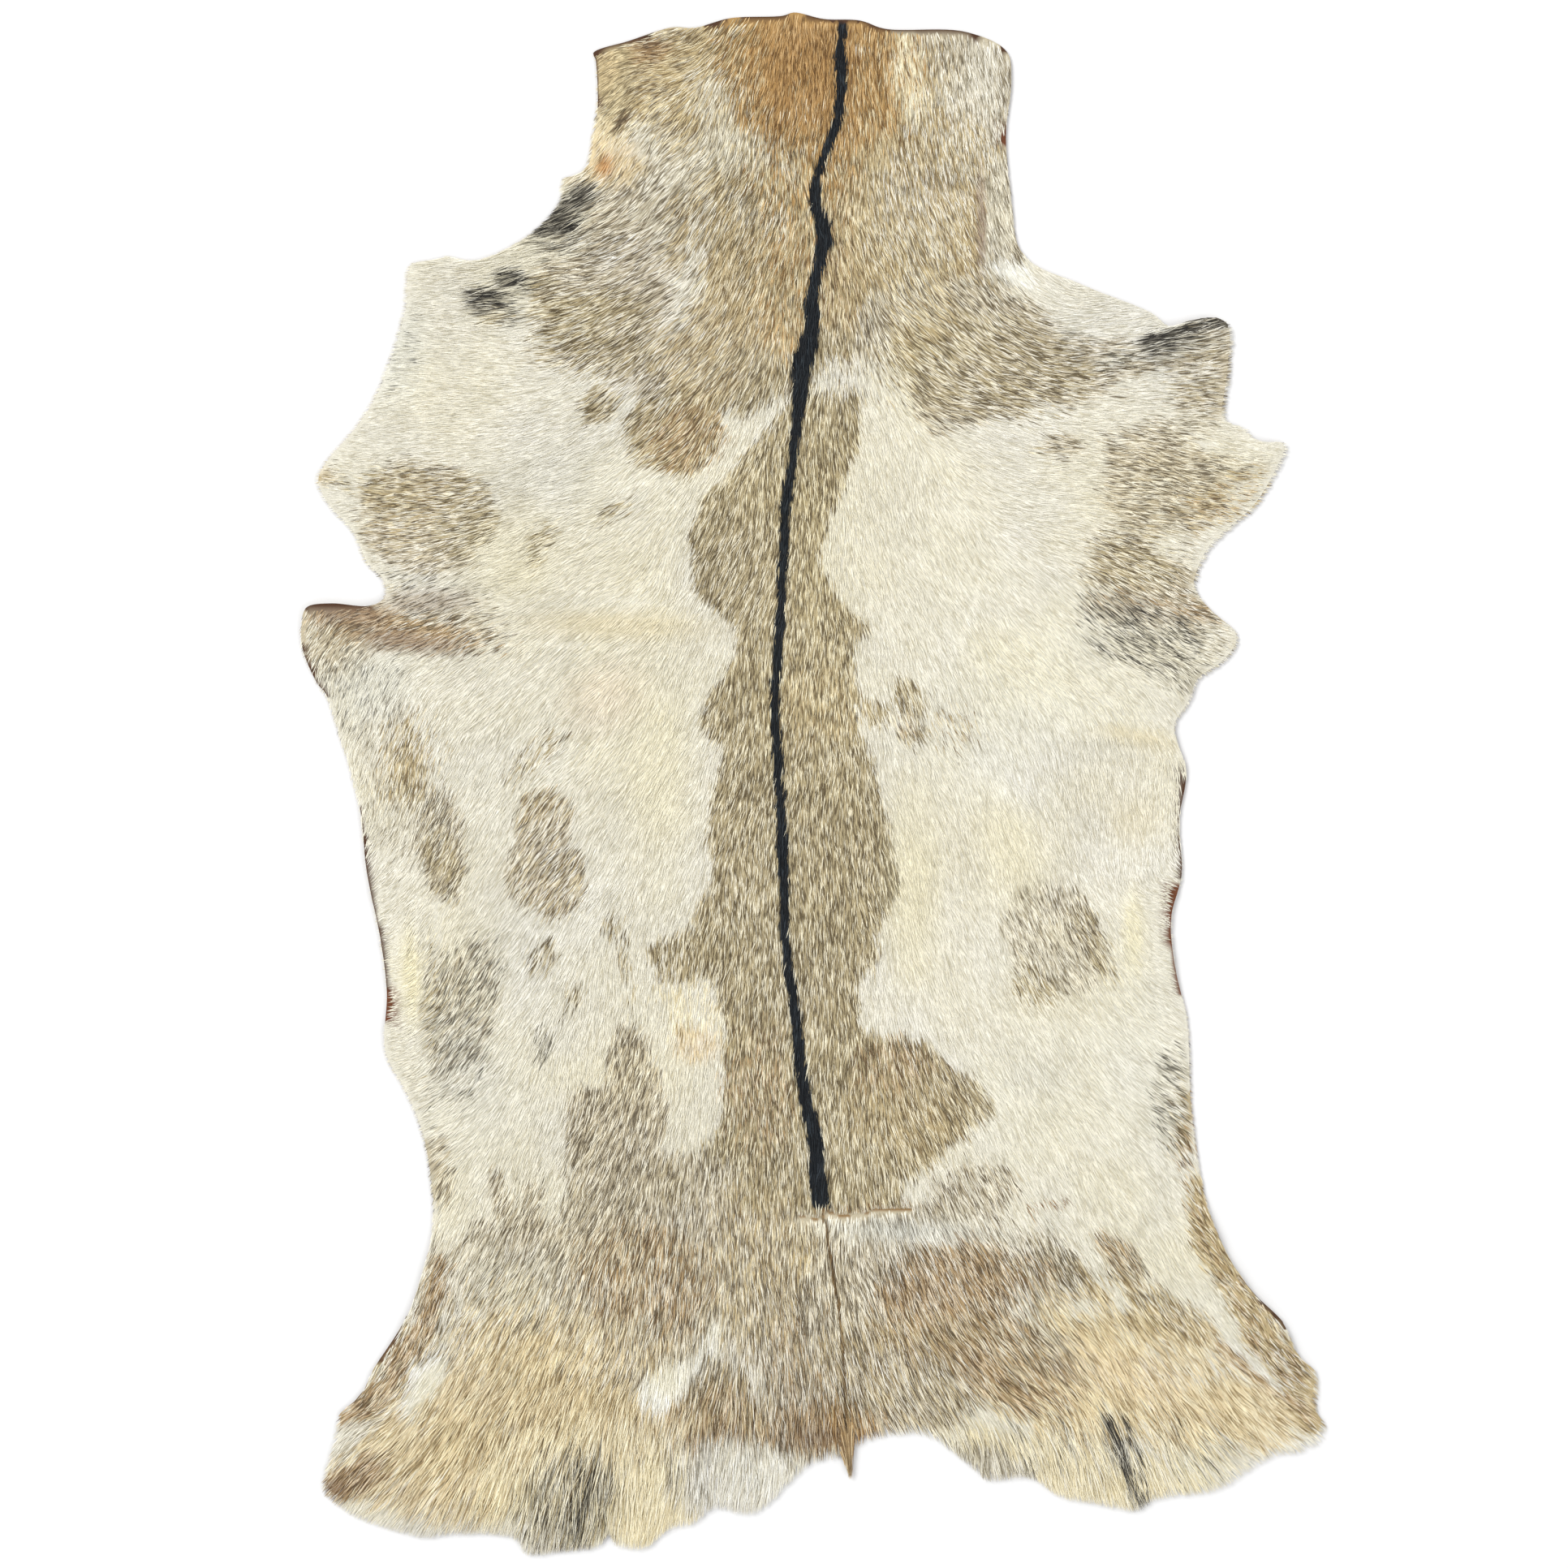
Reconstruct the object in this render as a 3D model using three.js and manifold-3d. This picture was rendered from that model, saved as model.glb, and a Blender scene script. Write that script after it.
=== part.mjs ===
import * as THREE from "three";
import { mergeVertices } from "three/addons/utils/BufferGeometryUtils.js";
import Module from "manifold-3d";

// Goatskin: one tanned skin with its coat on, lying hair side up on a floor.
// Millimetres. X runs across the skin, Y towards the neck and Z up from the floor.

const wasm = await Module();
wasm.setup();

// Skin and coat.
const SKIN = 1.6;
const RIM_COAT = 1.2; // depth of the lying hair at the skin's edge
const RIM_TAPER = 18; // width of the band in which the coat grows to its full depth
const CONTACT = 0.5; // a fold that rises less than this still lies flat on the floor

// Lying depth of the coat, from the neck down to the rump.
const COAT = [
  { y: 475, depth: 4.2 },
  { y: 250, depth: 4.6 },
  { y: -50, depth: 4.2 },
  { y: -330, depth: 5.2 },
  { y: -475, depth: 6.4 },
];

// The coat lies unevenly, in soft lumps. The heading is that of each wave's travel, in degrees.
const LUMPS = [
  { wave: 93, heading: 20, height: 0.55 },
  { wave: 61, heading: 105, height: 0.45 },
  { wave: 147, heading: 150, height: 0.5 },
];

// The coat's edge, clockwise seen from above, one row for each stretch.
// reach is how far hair passes the skin's edge, and flow is the hair's heading in degrees from +X.
// Both hold at the stretch's start and blend into those of the next stretch.
// pitch and width are the spacing and the width of the locks, with none where the pitch is 0.
const EDGE = [
  {
    name: "neck top",
    reach: 0,
    flow: -100,
    pitch: 0,
    width: 0,
    points: [
      [-136, 450], [-114, 457.5], [-86.5, 466], [-74, 465.5], [-51.5, 471.5], [-19, 473],
      [-12.5, 475], [6, 471], [28.5, 470], [43.5, 465], [93.5, 463], [118.5, 451],
    ],
  },
  {
    name: "neck right",
    reach: 0.5,
    flow: -72,
    pitch: 16,
    width: 12,
    points: [[121.5, 433], [118.5, 400], [121.5, 363], [129.5, 325.5]],
  },
  {
    name: "shoulder right",
    reach: 2,
    flow: -35,
    pitch: 12,
    width: 11,
    points: [
      [166, 307], [208.5, 289.5], [218.5, 281.5], [231, 285], [248.5, 286.5], [257.5, 280.5],
      [257.5, 255], [255.5, 223],
    ],
  },
  {
    name: "foreleg right",
    reach: 3.5,
    flow: -5,
    pitch: 11,
    width: 10,
    points: [
      [266, 219.5], [273.5, 211.5], [291, 209.5], [292.5, 206], [286, 190.5], [273.5, 170.5],
      [246, 145.5], [237.5, 128], [236, 120.5], [243.5, 108], [261, 92], [261.5, 85.5],
      [253.5, 74.5], [237.5, 63], [231, 48], [222.5, 34.5],
    ],
  },
  {
    name: "flank right",
    reach: 2,
    flow: -62,
    pitch: 16,
    width: 12,
    points: [
      [223.5, 26.5], [230, 5], [225.5, -26], [227.5, -57], [221, -84.5], [223.5, -115],
      [231, -148], [233.5, -199.5],
    ],
  },
  {
    name: "hind leg right",
    reach: 2.5,
    flow: -48,
    pitch: 12,
    width: 11,
    points: [
      [239, -242.5], [245, -267], [255.5, -291.5], [269.5, -312], [290, -333], [298.5, -352],
      [310.5, -364.5], [311, -389], [316.5, -396], [313, -405.5],
    ],
  },
  {
    name: "rump right",
    reach: 7,
    flow: -45,
    pitch: 7.5,
    width: 10,
    points: [
      [296, -413.5], [285, -414.5], [268, -424], [248.5, -435.5], [210.5, -441.5],
      [199.5, -448], [173, -444], [151, -439.5], [133.5, -428.5], [106, -429.5],
      [98.5, -423], [69.5, -403], [46, -402.5], [29, -407.5],
    ],
  },
  {
    name: "rump left",
    reach: 9,
    flow: -92,
    pitch: 7.5,
    width: 10,
    points: [
      [15.5, -416], [0, -419], [-15.5, -432], [-32.5, -448], [-44, -450.5], [-61.5, -447],
      [-75.5, -457], [-89, -459.5], [-104, -471], [-123, -469], [-126.5, -463],
      [-132.5, -470], [-157, -473.5], [-177.5, -475], [-185, -465.5], [-226.5, -463],
      [-239, -465], [-267, -458], [-288.5, -449], [-303, -436],
    ],
  },
  {
    name: "hind leg left",
    reach: 5,
    flow: -140,
    pitch: 12,
    width: 11,
    points: [
      [-303.5, -431], [-296.5, -404.5], [-293, -389.5], [-280, -377], [-272.5, -362],
      [-252, -329.5], [-239, -292], [-235.5, -270], [-237.5, -242], [-242, -217],
    ],
  },
  {
    name: "flank left",
    reach: 2,
    flow: -118,
    pitch: 16,
    width: 12,
    points: [
      [-251.5, -192], [-264.5, -167], [-264, -129.5], [-267.5, -99.5], [-276.5, -54.5],
      [-280.5, -17], [-294.5, 33], [-302, 54.5], [-306.5, 59.5], [-316.5, 84], [-315, 103],
    ],
  },
  {
    name: "foreleg left",
    reach: 2,
    flow: -130,
    pitch: 11,
    width: 10,
    points: [
      [-311.5, 109], [-296.5, 111], [-274, 109.5], [-266, 113], [-266.5, 124],
      [-276.5, 134.5], [-286.5, 155.5], [-301.5, 172], [-307.5, 186], [-304, 195.5],
      [-281.5, 223], [-269, 245.5], [-254.5, 290.5], [-250.5, 319],
    ],
  },
  {
    name: "shoulder left",
    reach: 3,
    flow: -185,
    pitch: 11,
    width: 10,
    points: [
      [-234, 323], [-226.5, 325], [-209, 322.5], [-176.5, 338], [-158, 358], [-155.5, 372],
      [-143.5, 376.5],
    ],
  },
  {
    name: "neck left",
    reach: 3,
    flow: -150,
    pitch: 14,
    width: 10,
    points: [[-137, 403], [-134.5, 418], [-135, 445.5]],
  },
];
const EDGE_STEP = 9;
const FULL_REACH = 0.5; // the outward share of the flow from which hair passes the edge fully

// Folds and curled edges, as soft ridges along a path. The skin rises with them off the floor.
const FOLDS = [
  {
    name: "left shoulder fold",
    height: 7,
    width: 15,
    path: [[-304, 107], [-266, 99], [-221, 87], [-151, 88], [-76, 97]],
  },
  { name: "left foreleg edge", height: 3, width: 10, path: [[-311, 109], [-276, 110]] },
  {
    name: "left belly roll",
    height: 5.5,
    width: 10,
    path: [[-252, -52], [-248, -92], [-245, -132], [-249, -157]],
  },
  { name: "left flank edge", height: 2.5, width: 11, path: [[-281, -17], [-267, -118]] },
  { name: "right belly roll", height: 5.5, width: 10, path: [[201, -60], [197, -92], [199, -130]] },
  { name: "right flank edge", height: 3, width: 10, path: [[223, -72], [223, -118]] },
  { name: "right flank wave", height: 4.5, width: 9, path: [[160, 34], [198, 28], [222, 20]] },
  { name: "right elbow crease", height: 4, width: 9, path: [[170, 86], [198, 76], [222, 58]] },
  { name: "right foreleg tip", height: 4.5, width: 10, path: [[215, 176], [248, 194], [276, 204]] },
  { name: "right shoulder edge", height: 4, width: 10, path: [[178, 260], [214, 274], [246, 278]] },
  { name: "right neck crease", height: 4, width: 9, path: [[106, 366], [101, 312]] },
  { name: "left neck pucker", height: 4, width: 11, path: [[-126, 374], [-112, 410]] },
  { name: "left foreleg tip", height: 3.5, width: 9, path: [[-300, 187], [-274, 190]] },
  { name: "left hind leg curl", height: 5.5, width: 10, path: [[-224, -290], [-238, -337], [-261, -382]] },
  { name: "right hind leg curl", height: 5.5, width: 10, path: [[238, -268], [263, -312], [292, -356]] },
];

// Locks of hair at the rim, and the tail's tuft.
const LOCK_ROOT = 7; // how far a lock starts inside the skin's edge
const LOCK_HEIGHT = 2.4;
const LOCK_SWAY = 9; // degrees that a lock strays from the hair's heading
const TAIL = { root: [20, -400], tip: [22.5, -428], width: 13, height: 5 };

const GRID = 14;
const PRISM_LOW = -5;
const PRISM_HIGH = 60;

const radians = THREE.MathUtils.degToRad;
const blend = THREE.MathUtils.lerp;

// The same number between 0 and 1 each time for a given seed.
function chance(seed) {
  const wave = Math.sin(seed * 12.9898 + 4.1414) * 43758.5453;
  return wave - Math.floor(wave);
}

function heading(degrees) {
  return new THREE.Vector2(Math.cos(radians(degrees)), Math.sin(radians(degrees)));
}

// Every point of the edge tables, with the reach and the flow that hold there.
function edgeCorners() {
  return EDGE.flatMap((stretch, i) => {
    const next = EDGE[(i + 1) % EDGE.length];
    return stretch.points.map(([x, y], k) => {
      const along = k / stretch.points.length;
      const reach = blend(stretch.reach, next.reach, along);
      const flow = blend(stretch.flow, next.flow, along);
      return { x, y, reach, flow, stretch };
    });
  });
}

// The edge as a smooth closed curve through its corners, in steps of about EDGE_STEP.
// Hair passes the skin's edge only where it flows outwards over it.
function edgeSamples() {
  const corners = edgeCorners();
  const count = corners.length;
  const rim = new THREE.CatmullRomCurve3(
    corners.map(({ x, y }) => new THREE.Vector3(x, y, 0)),
    true,
    "centripetal",
  );
  return corners.flatMap((corner, i) => {
    const next = corners[(i + 1) % count];
    const run = new THREE.Vector2(next.x - corner.x, next.y - corner.y);
    const outward = new THREE.Vector2(-run.y, run.x).normalize();
    const steps = Math.max(1, Math.round(run.length() / EDGE_STEP));
    return Array.from({ length: steps }, (_, k) => {
      const along = k / steps;
      const { x, y } = rim.getPoint((i + along) / count);
      const flow = heading(blend(corner.flow, next.flow, along));
      const over = THREE.MathUtils.clamp(flow.dot(outward) / FULL_REACH, 0, 1);
      const reach = over * blend(corner.reach, next.reach, along);
      const skin = new THREE.Vector2(x, y).addScaledVector(flow, -reach);
      return { skin, reach, flow, over, stretch: corner.stretch };
    });
  });
}

function distanceToPath(x, y, path) {
  let nearest = Infinity;
  for (let i = 1; i < path.length; i += 1) {
    const [ax, ay] = path[i - 1];
    const [bx, by] = path[i];
    const reach = ((x - ax) * (bx - ax) + (y - ay) * (by - ay)) / ((bx - ax) ** 2 + (by - ay) ** 2);
    const along = THREE.MathUtils.clamp(reach, 0, 1);
    nearest = Math.min(nearest, Math.hypot(x - blend(ax, bx, along), y - blend(ay, by, along)));
  }
  return nearest;
}

// Height of the folds over the level at which the skin leaves the floor, below 0 where it lies flat.
function rise(x, y) {
  const rises = FOLDS.map(({ height, width, path }) => {
    return height * Math.exp(-((distanceToPath(x, y, path) / width) ** 2));
  });
  return Math.max(...rises) - CONTACT;
}

// How far the folds lift the skin off the floor.
function lift(x, y) {
  return Math.max(0, rise(x, y));
}

function coatDepth(x, y) {
  const last = COAT.length - 1;
  const row = COAT.findIndex((level, i) => i === last || y > COAT[i + 1].y);
  const from = COAT[row];
  const to = COAT[Math.min(row + 1, last)];
  const along = from === to ? 0 : THREE.MathUtils.clamp((from.y - y) / (from.y - to.y), 0, 1);
  const lumps = LUMPS.map(({ wave, heading: degrees, height }) => {
    const travel = x * Math.cos(radians(degrees)) + y * Math.sin(radians(degrees));
    return height * Math.sin((2 * Math.PI * travel) / wave);
  });
  return blend(from.depth, to.depth, along) + lumps.reduce((sum, lump) => sum + lump, 0);
}

function inside(x, y, outline) {
  let crossings = 0;
  outline.forEach(([ax, ay], i) => {
    const [bx, by] = outline[(i + 1) % outline.length];
    if (ay > y !== by > y && x < ax + ((y - ay) * (bx - ax)) / (by - ay)) crossings += 1;
  });
  return crossings % 2 === 1;
}

// Thickness of skin and coat together: thin at the rim, full a taper's width inside it.
function thickness(x, y, outline) {
  const gap = inside(x, y, outline) ? distanceToPath(x, y, [...outline, outline[0]]) : 0;
  const grown = THREE.MathUtils.smoothstep(gap, 0, RIM_TAPER);
  return SKIN + blend(RIM_COAT, coatDepth(x, y), grown);
}

function solidFrom(positions, triangles) {
  return new wasm.Manifold(
    new wasm.Mesh({
      numProp: 3,
      vertProperties: new Float32Array(positions),
      triVerts: new Uint32Array(triangles),
    }),
  );
}

// A block wider than the skin, from a level underside up to a height worked out at each grid point.
function gridBlock(outline, underside, heightAt) {
  const halfX = Math.max(...outline.map(([x]) => Math.abs(x))) + GRID;
  const halfY = Math.max(...outline.map(([, y]) => Math.abs(y))) + GRID;
  const columns = Math.ceil((2 * halfX) / GRID);
  const rows = Math.ceil((2 * halfY) / GRID);
  const index = (column, row) => row * (columns + 1) + column;
  const positions = [];
  for (let row = 0; row <= rows; row += 1) {
    for (let column = 0; column <= columns; column += 1) {
      const x = column * GRID - halfX;
      const y = row * GRID - halfY;
      positions.push(x, y, heightAt(x, y));
    }
  }
  const triangles = [];
  for (let row = 0; row < rows; row += 1) {
    for (let column = 0; column < columns; column += 1) {
      const near = [index(column, row), index(column + 1, row)];
      const far = [index(column, row + 1), index(column + 1, row + 1)];
      triangles.push(near[0], near[1], far[1], near[0], far[1], far[0]);
    }
  }
  const rim = [
    ...Array.from({ length: columns }, (_, column) => index(column, 0)),
    ...Array.from({ length: rows }, (_, row) => index(columns, row)),
    ...Array.from({ length: columns }, (_, column) => index(columns - column, rows)),
    ...Array.from({ length: rows }, (_, row) => index(0, rows - row)),
  ];
  const foot = positions.length / 3;
  rim.forEach((top) => positions.push(positions[3 * top], positions[3 * top + 1], underside));
  const centre = positions.length / 3;
  positions.push(0, 0, underside);
  rim.forEach((top, i) => {
    const after = (i + 1) % rim.length;
    triangles.push(foot + i, foot + after, rim[after], foot + i, rim[after], top);
    triangles.push(centre, foot + after, foot + i);
  });
  return solidFrom(positions, triangles);
}

// The skin and coat before the edge is cut, hollow on the floor side under the folds.
function uncutSlab(outline) {
  const block = gridBlock(outline, 0, (x, y) => lift(x, y) + thickness(x, y, outline));
  return block.subtract(gridBlock(outline, PRISM_LOW, rise));
}

function edgePrism(outline) {
  const shape = new THREE.Shape(outline.map(([x, y]) => new THREE.Vector2(x, y)));
  const depth = PRISM_HIGH - PRISM_LOW;
  const prism = new THREE.ExtrudeGeometry(shape, { depth, bevelEnabled: false, curveSegments: 1 });
  prism.deleteAttribute("normal");
  prism.deleteAttribute("uv");
  prism.translate(0, 0, PRISM_LOW);
  const closed = mergeVertices(prism);
  return solidFrom(closed.attributes.position.array, closed.index.array);
}

// A lock of hair with three sides, its underside level with what it lies on.
function lock(root, tip, width, height, floor) {
  const along = tip.clone().sub(root).normalize();
  const across = new THREE.Vector2(-along.y, along.x).multiplyScalar(width / 2);
  const left = root.clone().add(across);
  const right = root.clone().sub(across);
  const corners = [
    left.x, left.y, floor,
    right.x, right.y, floor,
    tip.x, tip.y, 0,
    root.x, root.y, floor + height,
  ];
  return solidFrom(corners, [0, 2, 1, 0, 1, 3, 1, 2, 3, 2, 0, 3]);
}

// Locks all round the rim, each stretch with its own spacing.
function rimLocks(samples) {
  const locks = [];
  let travelled = 0;
  samples.forEach(({ skin, reach, flow, over, stretch }, i) => {
    travelled += skin.distanceTo(samples[(i + 1) % samples.length].skin);
    if (stretch.pitch === 0 || travelled < stretch.pitch || over < 1) return;
    travelled -= stretch.pitch;
    const sway = radians(LOCK_SWAY * (2 * chance(i) - 1));
    const along = flow.clone().rotateAround(new THREE.Vector2(), sway);
    const root = skin.clone().addScaledVector(along, -LOCK_ROOT);
    const tip = skin.clone().addScaledVector(along, reach * (0.75 + 0.5 * chance(i + 0.5)));
    const width = stretch.width * (0.8 + 0.4 * chance(i + 0.25));
    locks.push(lock(root, tip, width, LOCK_HEIGHT, lift(root.x, root.y)));
  });
  return locks;
}

function tailTuft() {
  const root = new THREE.Vector2(...TAIL.root);
  const tip = new THREE.Vector2(...TAIL.tip);
  return lock(root, tip, TAIL.width, TAIL.height, 0);
}

function hideSolid() {
  const samples = edgeSamples();
  const outline = samples.map(({ skin }) => [skin.x, skin.y]);
  const slab = uncutSlab(outline).intersect(edgePrism(outline));
  return [...rimLocks(samples), tailTuft()].reduce((whole, piece) => whole.add(piece), slab);
}

function meshFrom(solid, name, material) {
  const { numProp, vertProperties, triVerts } = solid.getMesh();
  const positions = new Float32Array((vertProperties.length / numProp) * 3);
  for (let i = 0; i * numProp < vertProperties.length; i += 1) {
    positions.set(vertProperties.subarray(i * numProp, i * numProp + 3), i * 3);
  }
  const geometry = new THREE.BufferGeometry();
  geometry.setAttribute("position", new THREE.BufferAttribute(positions, 3));
  geometry.setIndex(new THREE.BufferAttribute(triVerts, 1));
  const mesh = new THREE.Mesh(geometry, material);
  mesh.name = name;
  return mesh;
}

const coat = new THREE.MeshStandardMaterial({ color: "#d2c6ae", roughness: 0.92, metalness: 0 });
const hide = meshFrom(hideSolid(), "hide", coat);

// The frame's origin is under the middle of the skin, on the floor.
hide.geometry.computeBoundingBox();
const middle = hide.geometry.boundingBox.getCenter(new THREE.Vector3());
hide.geometry.translate(-middle.x, -middle.y, 0);

const group = new THREE.Group();
group.name = "goatskin";
group.add(hide);

export default group;
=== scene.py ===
import math

import bpy
import numpy as np
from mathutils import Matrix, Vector
from mathutils.bvhtree import BVHTree


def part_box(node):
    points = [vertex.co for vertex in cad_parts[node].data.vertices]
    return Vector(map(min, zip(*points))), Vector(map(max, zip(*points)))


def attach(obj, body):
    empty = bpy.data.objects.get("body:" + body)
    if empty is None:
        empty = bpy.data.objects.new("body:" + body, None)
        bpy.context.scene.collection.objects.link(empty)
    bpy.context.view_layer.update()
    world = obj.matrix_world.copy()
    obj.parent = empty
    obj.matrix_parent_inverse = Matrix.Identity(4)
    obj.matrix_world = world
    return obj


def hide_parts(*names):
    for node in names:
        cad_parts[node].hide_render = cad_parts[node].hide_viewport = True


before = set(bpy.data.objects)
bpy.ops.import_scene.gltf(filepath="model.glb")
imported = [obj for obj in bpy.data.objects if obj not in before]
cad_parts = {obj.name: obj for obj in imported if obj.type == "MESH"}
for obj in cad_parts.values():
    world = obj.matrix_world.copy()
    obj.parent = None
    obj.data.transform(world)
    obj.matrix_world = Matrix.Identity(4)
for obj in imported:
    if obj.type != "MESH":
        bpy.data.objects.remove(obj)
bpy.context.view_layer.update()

# A goatskin lying hair side up on a floor. Tables are in millimetres, X across the skin,
# Y towards the neck, and headings in degrees from +X, so that -90 runs to the tail.

MM = 0.001

# The skin: its thickness and the least that a crease leaves of it, the mesh of the sheet, the step
# along the rim, the grid on which the solid's folds are read, and how squarely a hair has to point
# outward to reach fully past the rim.
SKIN = 1.6
LEAST_SKIN = 0.9
SUEDE_GRID = 8.0
RIM_STEP = 2.5
HEIGHT_GRID = 4.0
FULL_REACH = 0.5

# Cutting the sheet: how far it passes the outline at first, how near the slit and the stripe its
# mesh is finer, and the cutter's bottom and height in metres.
SHEET_MARGIN = 8
FINE_BY_SLIT, FINE_BY_STRIPE = 6, 8
CUTTER_BOTTOM, CUTTER_HEIGHT = -0.004, 0.012

# The coat: how far apart its roots are and how they stray, how deep they stand, how wide a hair is,
# how steeply it rises, its least length, and the width of a clump.
HAIR_SPACING = 1.365
ROOT_STRAY = 0.6
ROOT_DEPTH = 0.3
HAIR_WIDTH = (0.65, 1.05)
HAIR_RISE = (4, 13)
LEAST_HAIR = 0.8
CLUMP = 5.0
COAT_PIECES = ["coat_left_edge", "coat_left_side", "coat_back", "coat_right_side", "coat_right_edge"]

# The tail tuft: where its roots stand, how wide they spread, and how high they lie over the coat.
TAIL_TIP = (22.5, -428)
TAIL_HAIRS = 260
TAIL_MIDDLE, TAIL_SPREAD = 20, 1.8
TAIL_ROOTS = (-411, -390)
TAIL_LIFT = 1.4

# How the flow of the hair blends: each row of the table holds out to about this far, then fades.
FLOW_REACH = 10.0
FLOW_FADE = 1.6

# How the borders of the markings stray: how far, over lumps of what width, and the seeds in X and Y.
BORDER_STRAY = [(3, 26, 1, 4), (2.5, 10, 2, 5), (1.4, 4, 3, 6)]
PICK_STEP = 0.618

# The coat's edge, clockwise from above: reach of the hair past the skin's edge, and its heading.
EDGE = [
    ("neck top", 0, -100, [
        (-136, 450), (-114, 457.5), (-86.5, 466), (-74, 465.5), (-51.5, 471.5), (-19, 473),
        (-12.5, 475), (6, 471), (28.5, 470), (43.5, 465), (93.5, 463), (118.5, 451)]),
    ("neck right", 0.5, -72, [(121.5, 433), (118.5, 400), (121.5, 363), (129.5, 325.5)]),
    ("shoulder right", 2, -35, [
        (166, 307), (208.5, 289.5), (218.5, 281.5), (231, 285), (248.5, 286.5), (257.5, 280.5),
        (257.5, 255), (255.5, 223)]),
    ("foreleg right", 3.5, -5, [
        (266, 219.5), (273.5, 211.5), (291, 209.5), (292.5, 206), (286, 190.5), (273.5, 170.5),
        (246, 145.5), (237.5, 128), (236, 120.5), (243.5, 108), (261, 92), (261.5, 85.5),
        (253.5, 74.5), (237.5, 63), (231, 48), (222.5, 34.5)]),
    ("flank right", 2, -62, [
        (223.5, 26.5), (230, 5), (225.5, -26), (227.5, -57), (221, -84.5), (223.5, -115),
        (231, -148), (233.5, -199.5)]),
    ("hind leg right", 2.5, -48, [
        (239, -242.5), (245, -267), (255.5, -291.5), (269.5, -312), (290, -333), (298.5, -352),
        (310.5, -364.5), (311, -389), (316.5, -396), (313, -405.5)]),
    ("rump right", 7, -45, [
        (296, -413.5), (285, -414.5), (268, -424), (248.5, -435.5), (210.5, -441.5),
        (199.5, -448), (173, -444), (151, -439.5), (133.5, -428.5), (106, -429.5),
        (98.5, -423), (69.5, -403), (46, -402.5), (29, -407.5)]),
    ("rump left", 9, -92, [
        (15.5, -416), (0, -419), (-15.5, -432), (-32.5, -448), (-44, -450.5), (-61.5, -447),
        (-75.5, -457), (-89, -459.5), (-104, -471), (-123, -469), (-126.5, -463),
        (-132.5, -470), (-157, -473.5), (-177.5, -475), (-185, -465.5), (-226.5, -463),
        (-239, -465), (-267, -458), (-288.5, -449), (-303, -436)]),
    ("hind leg left", 5, -140, [
        (-303.5, -431), (-296.5, -404.5), (-293, -389.5), (-280, -377), (-272.5, -362),
        (-252, -329.5), (-239, -292), (-235.5, -270), (-237.5, -242), (-242, -217)]),
    ("flank left", 2, -118, [
        (-251.5, -192), (-264.5, -167), (-264, -129.5), (-267.5, -99.5), (-276.5, -54.5),
        (-280.5, -17), (-294.5, 33), (-302, 54.5), (-306.5, 59.5), (-316.5, 84), (-315, 103)]),
    ("foreleg left", 2, -130, [
        (-311.5, 109), (-296.5, 111), (-274, 109.5), (-266, 113), (-266.5, 124),
        (-276.5, 134.5), (-286.5, 155.5), (-301.5, 172), (-307.5, 186), (-304, 195.5),
        (-281.5, 223), (-269, 245.5), (-254.5, 290.5), (-250.5, 319)]),
    ("shoulder left", 3, -185, [
        (-234, 323), (-226.5, 325), (-209, 322.5), (-176.5, 338), (-158, 358), (-155.5, 372),
        (-143.5, 376.5)]),
    ("neck left", 3, -150, [(-137, 403), (-134.5, 418), (-135, 445.5)]),
]

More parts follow.
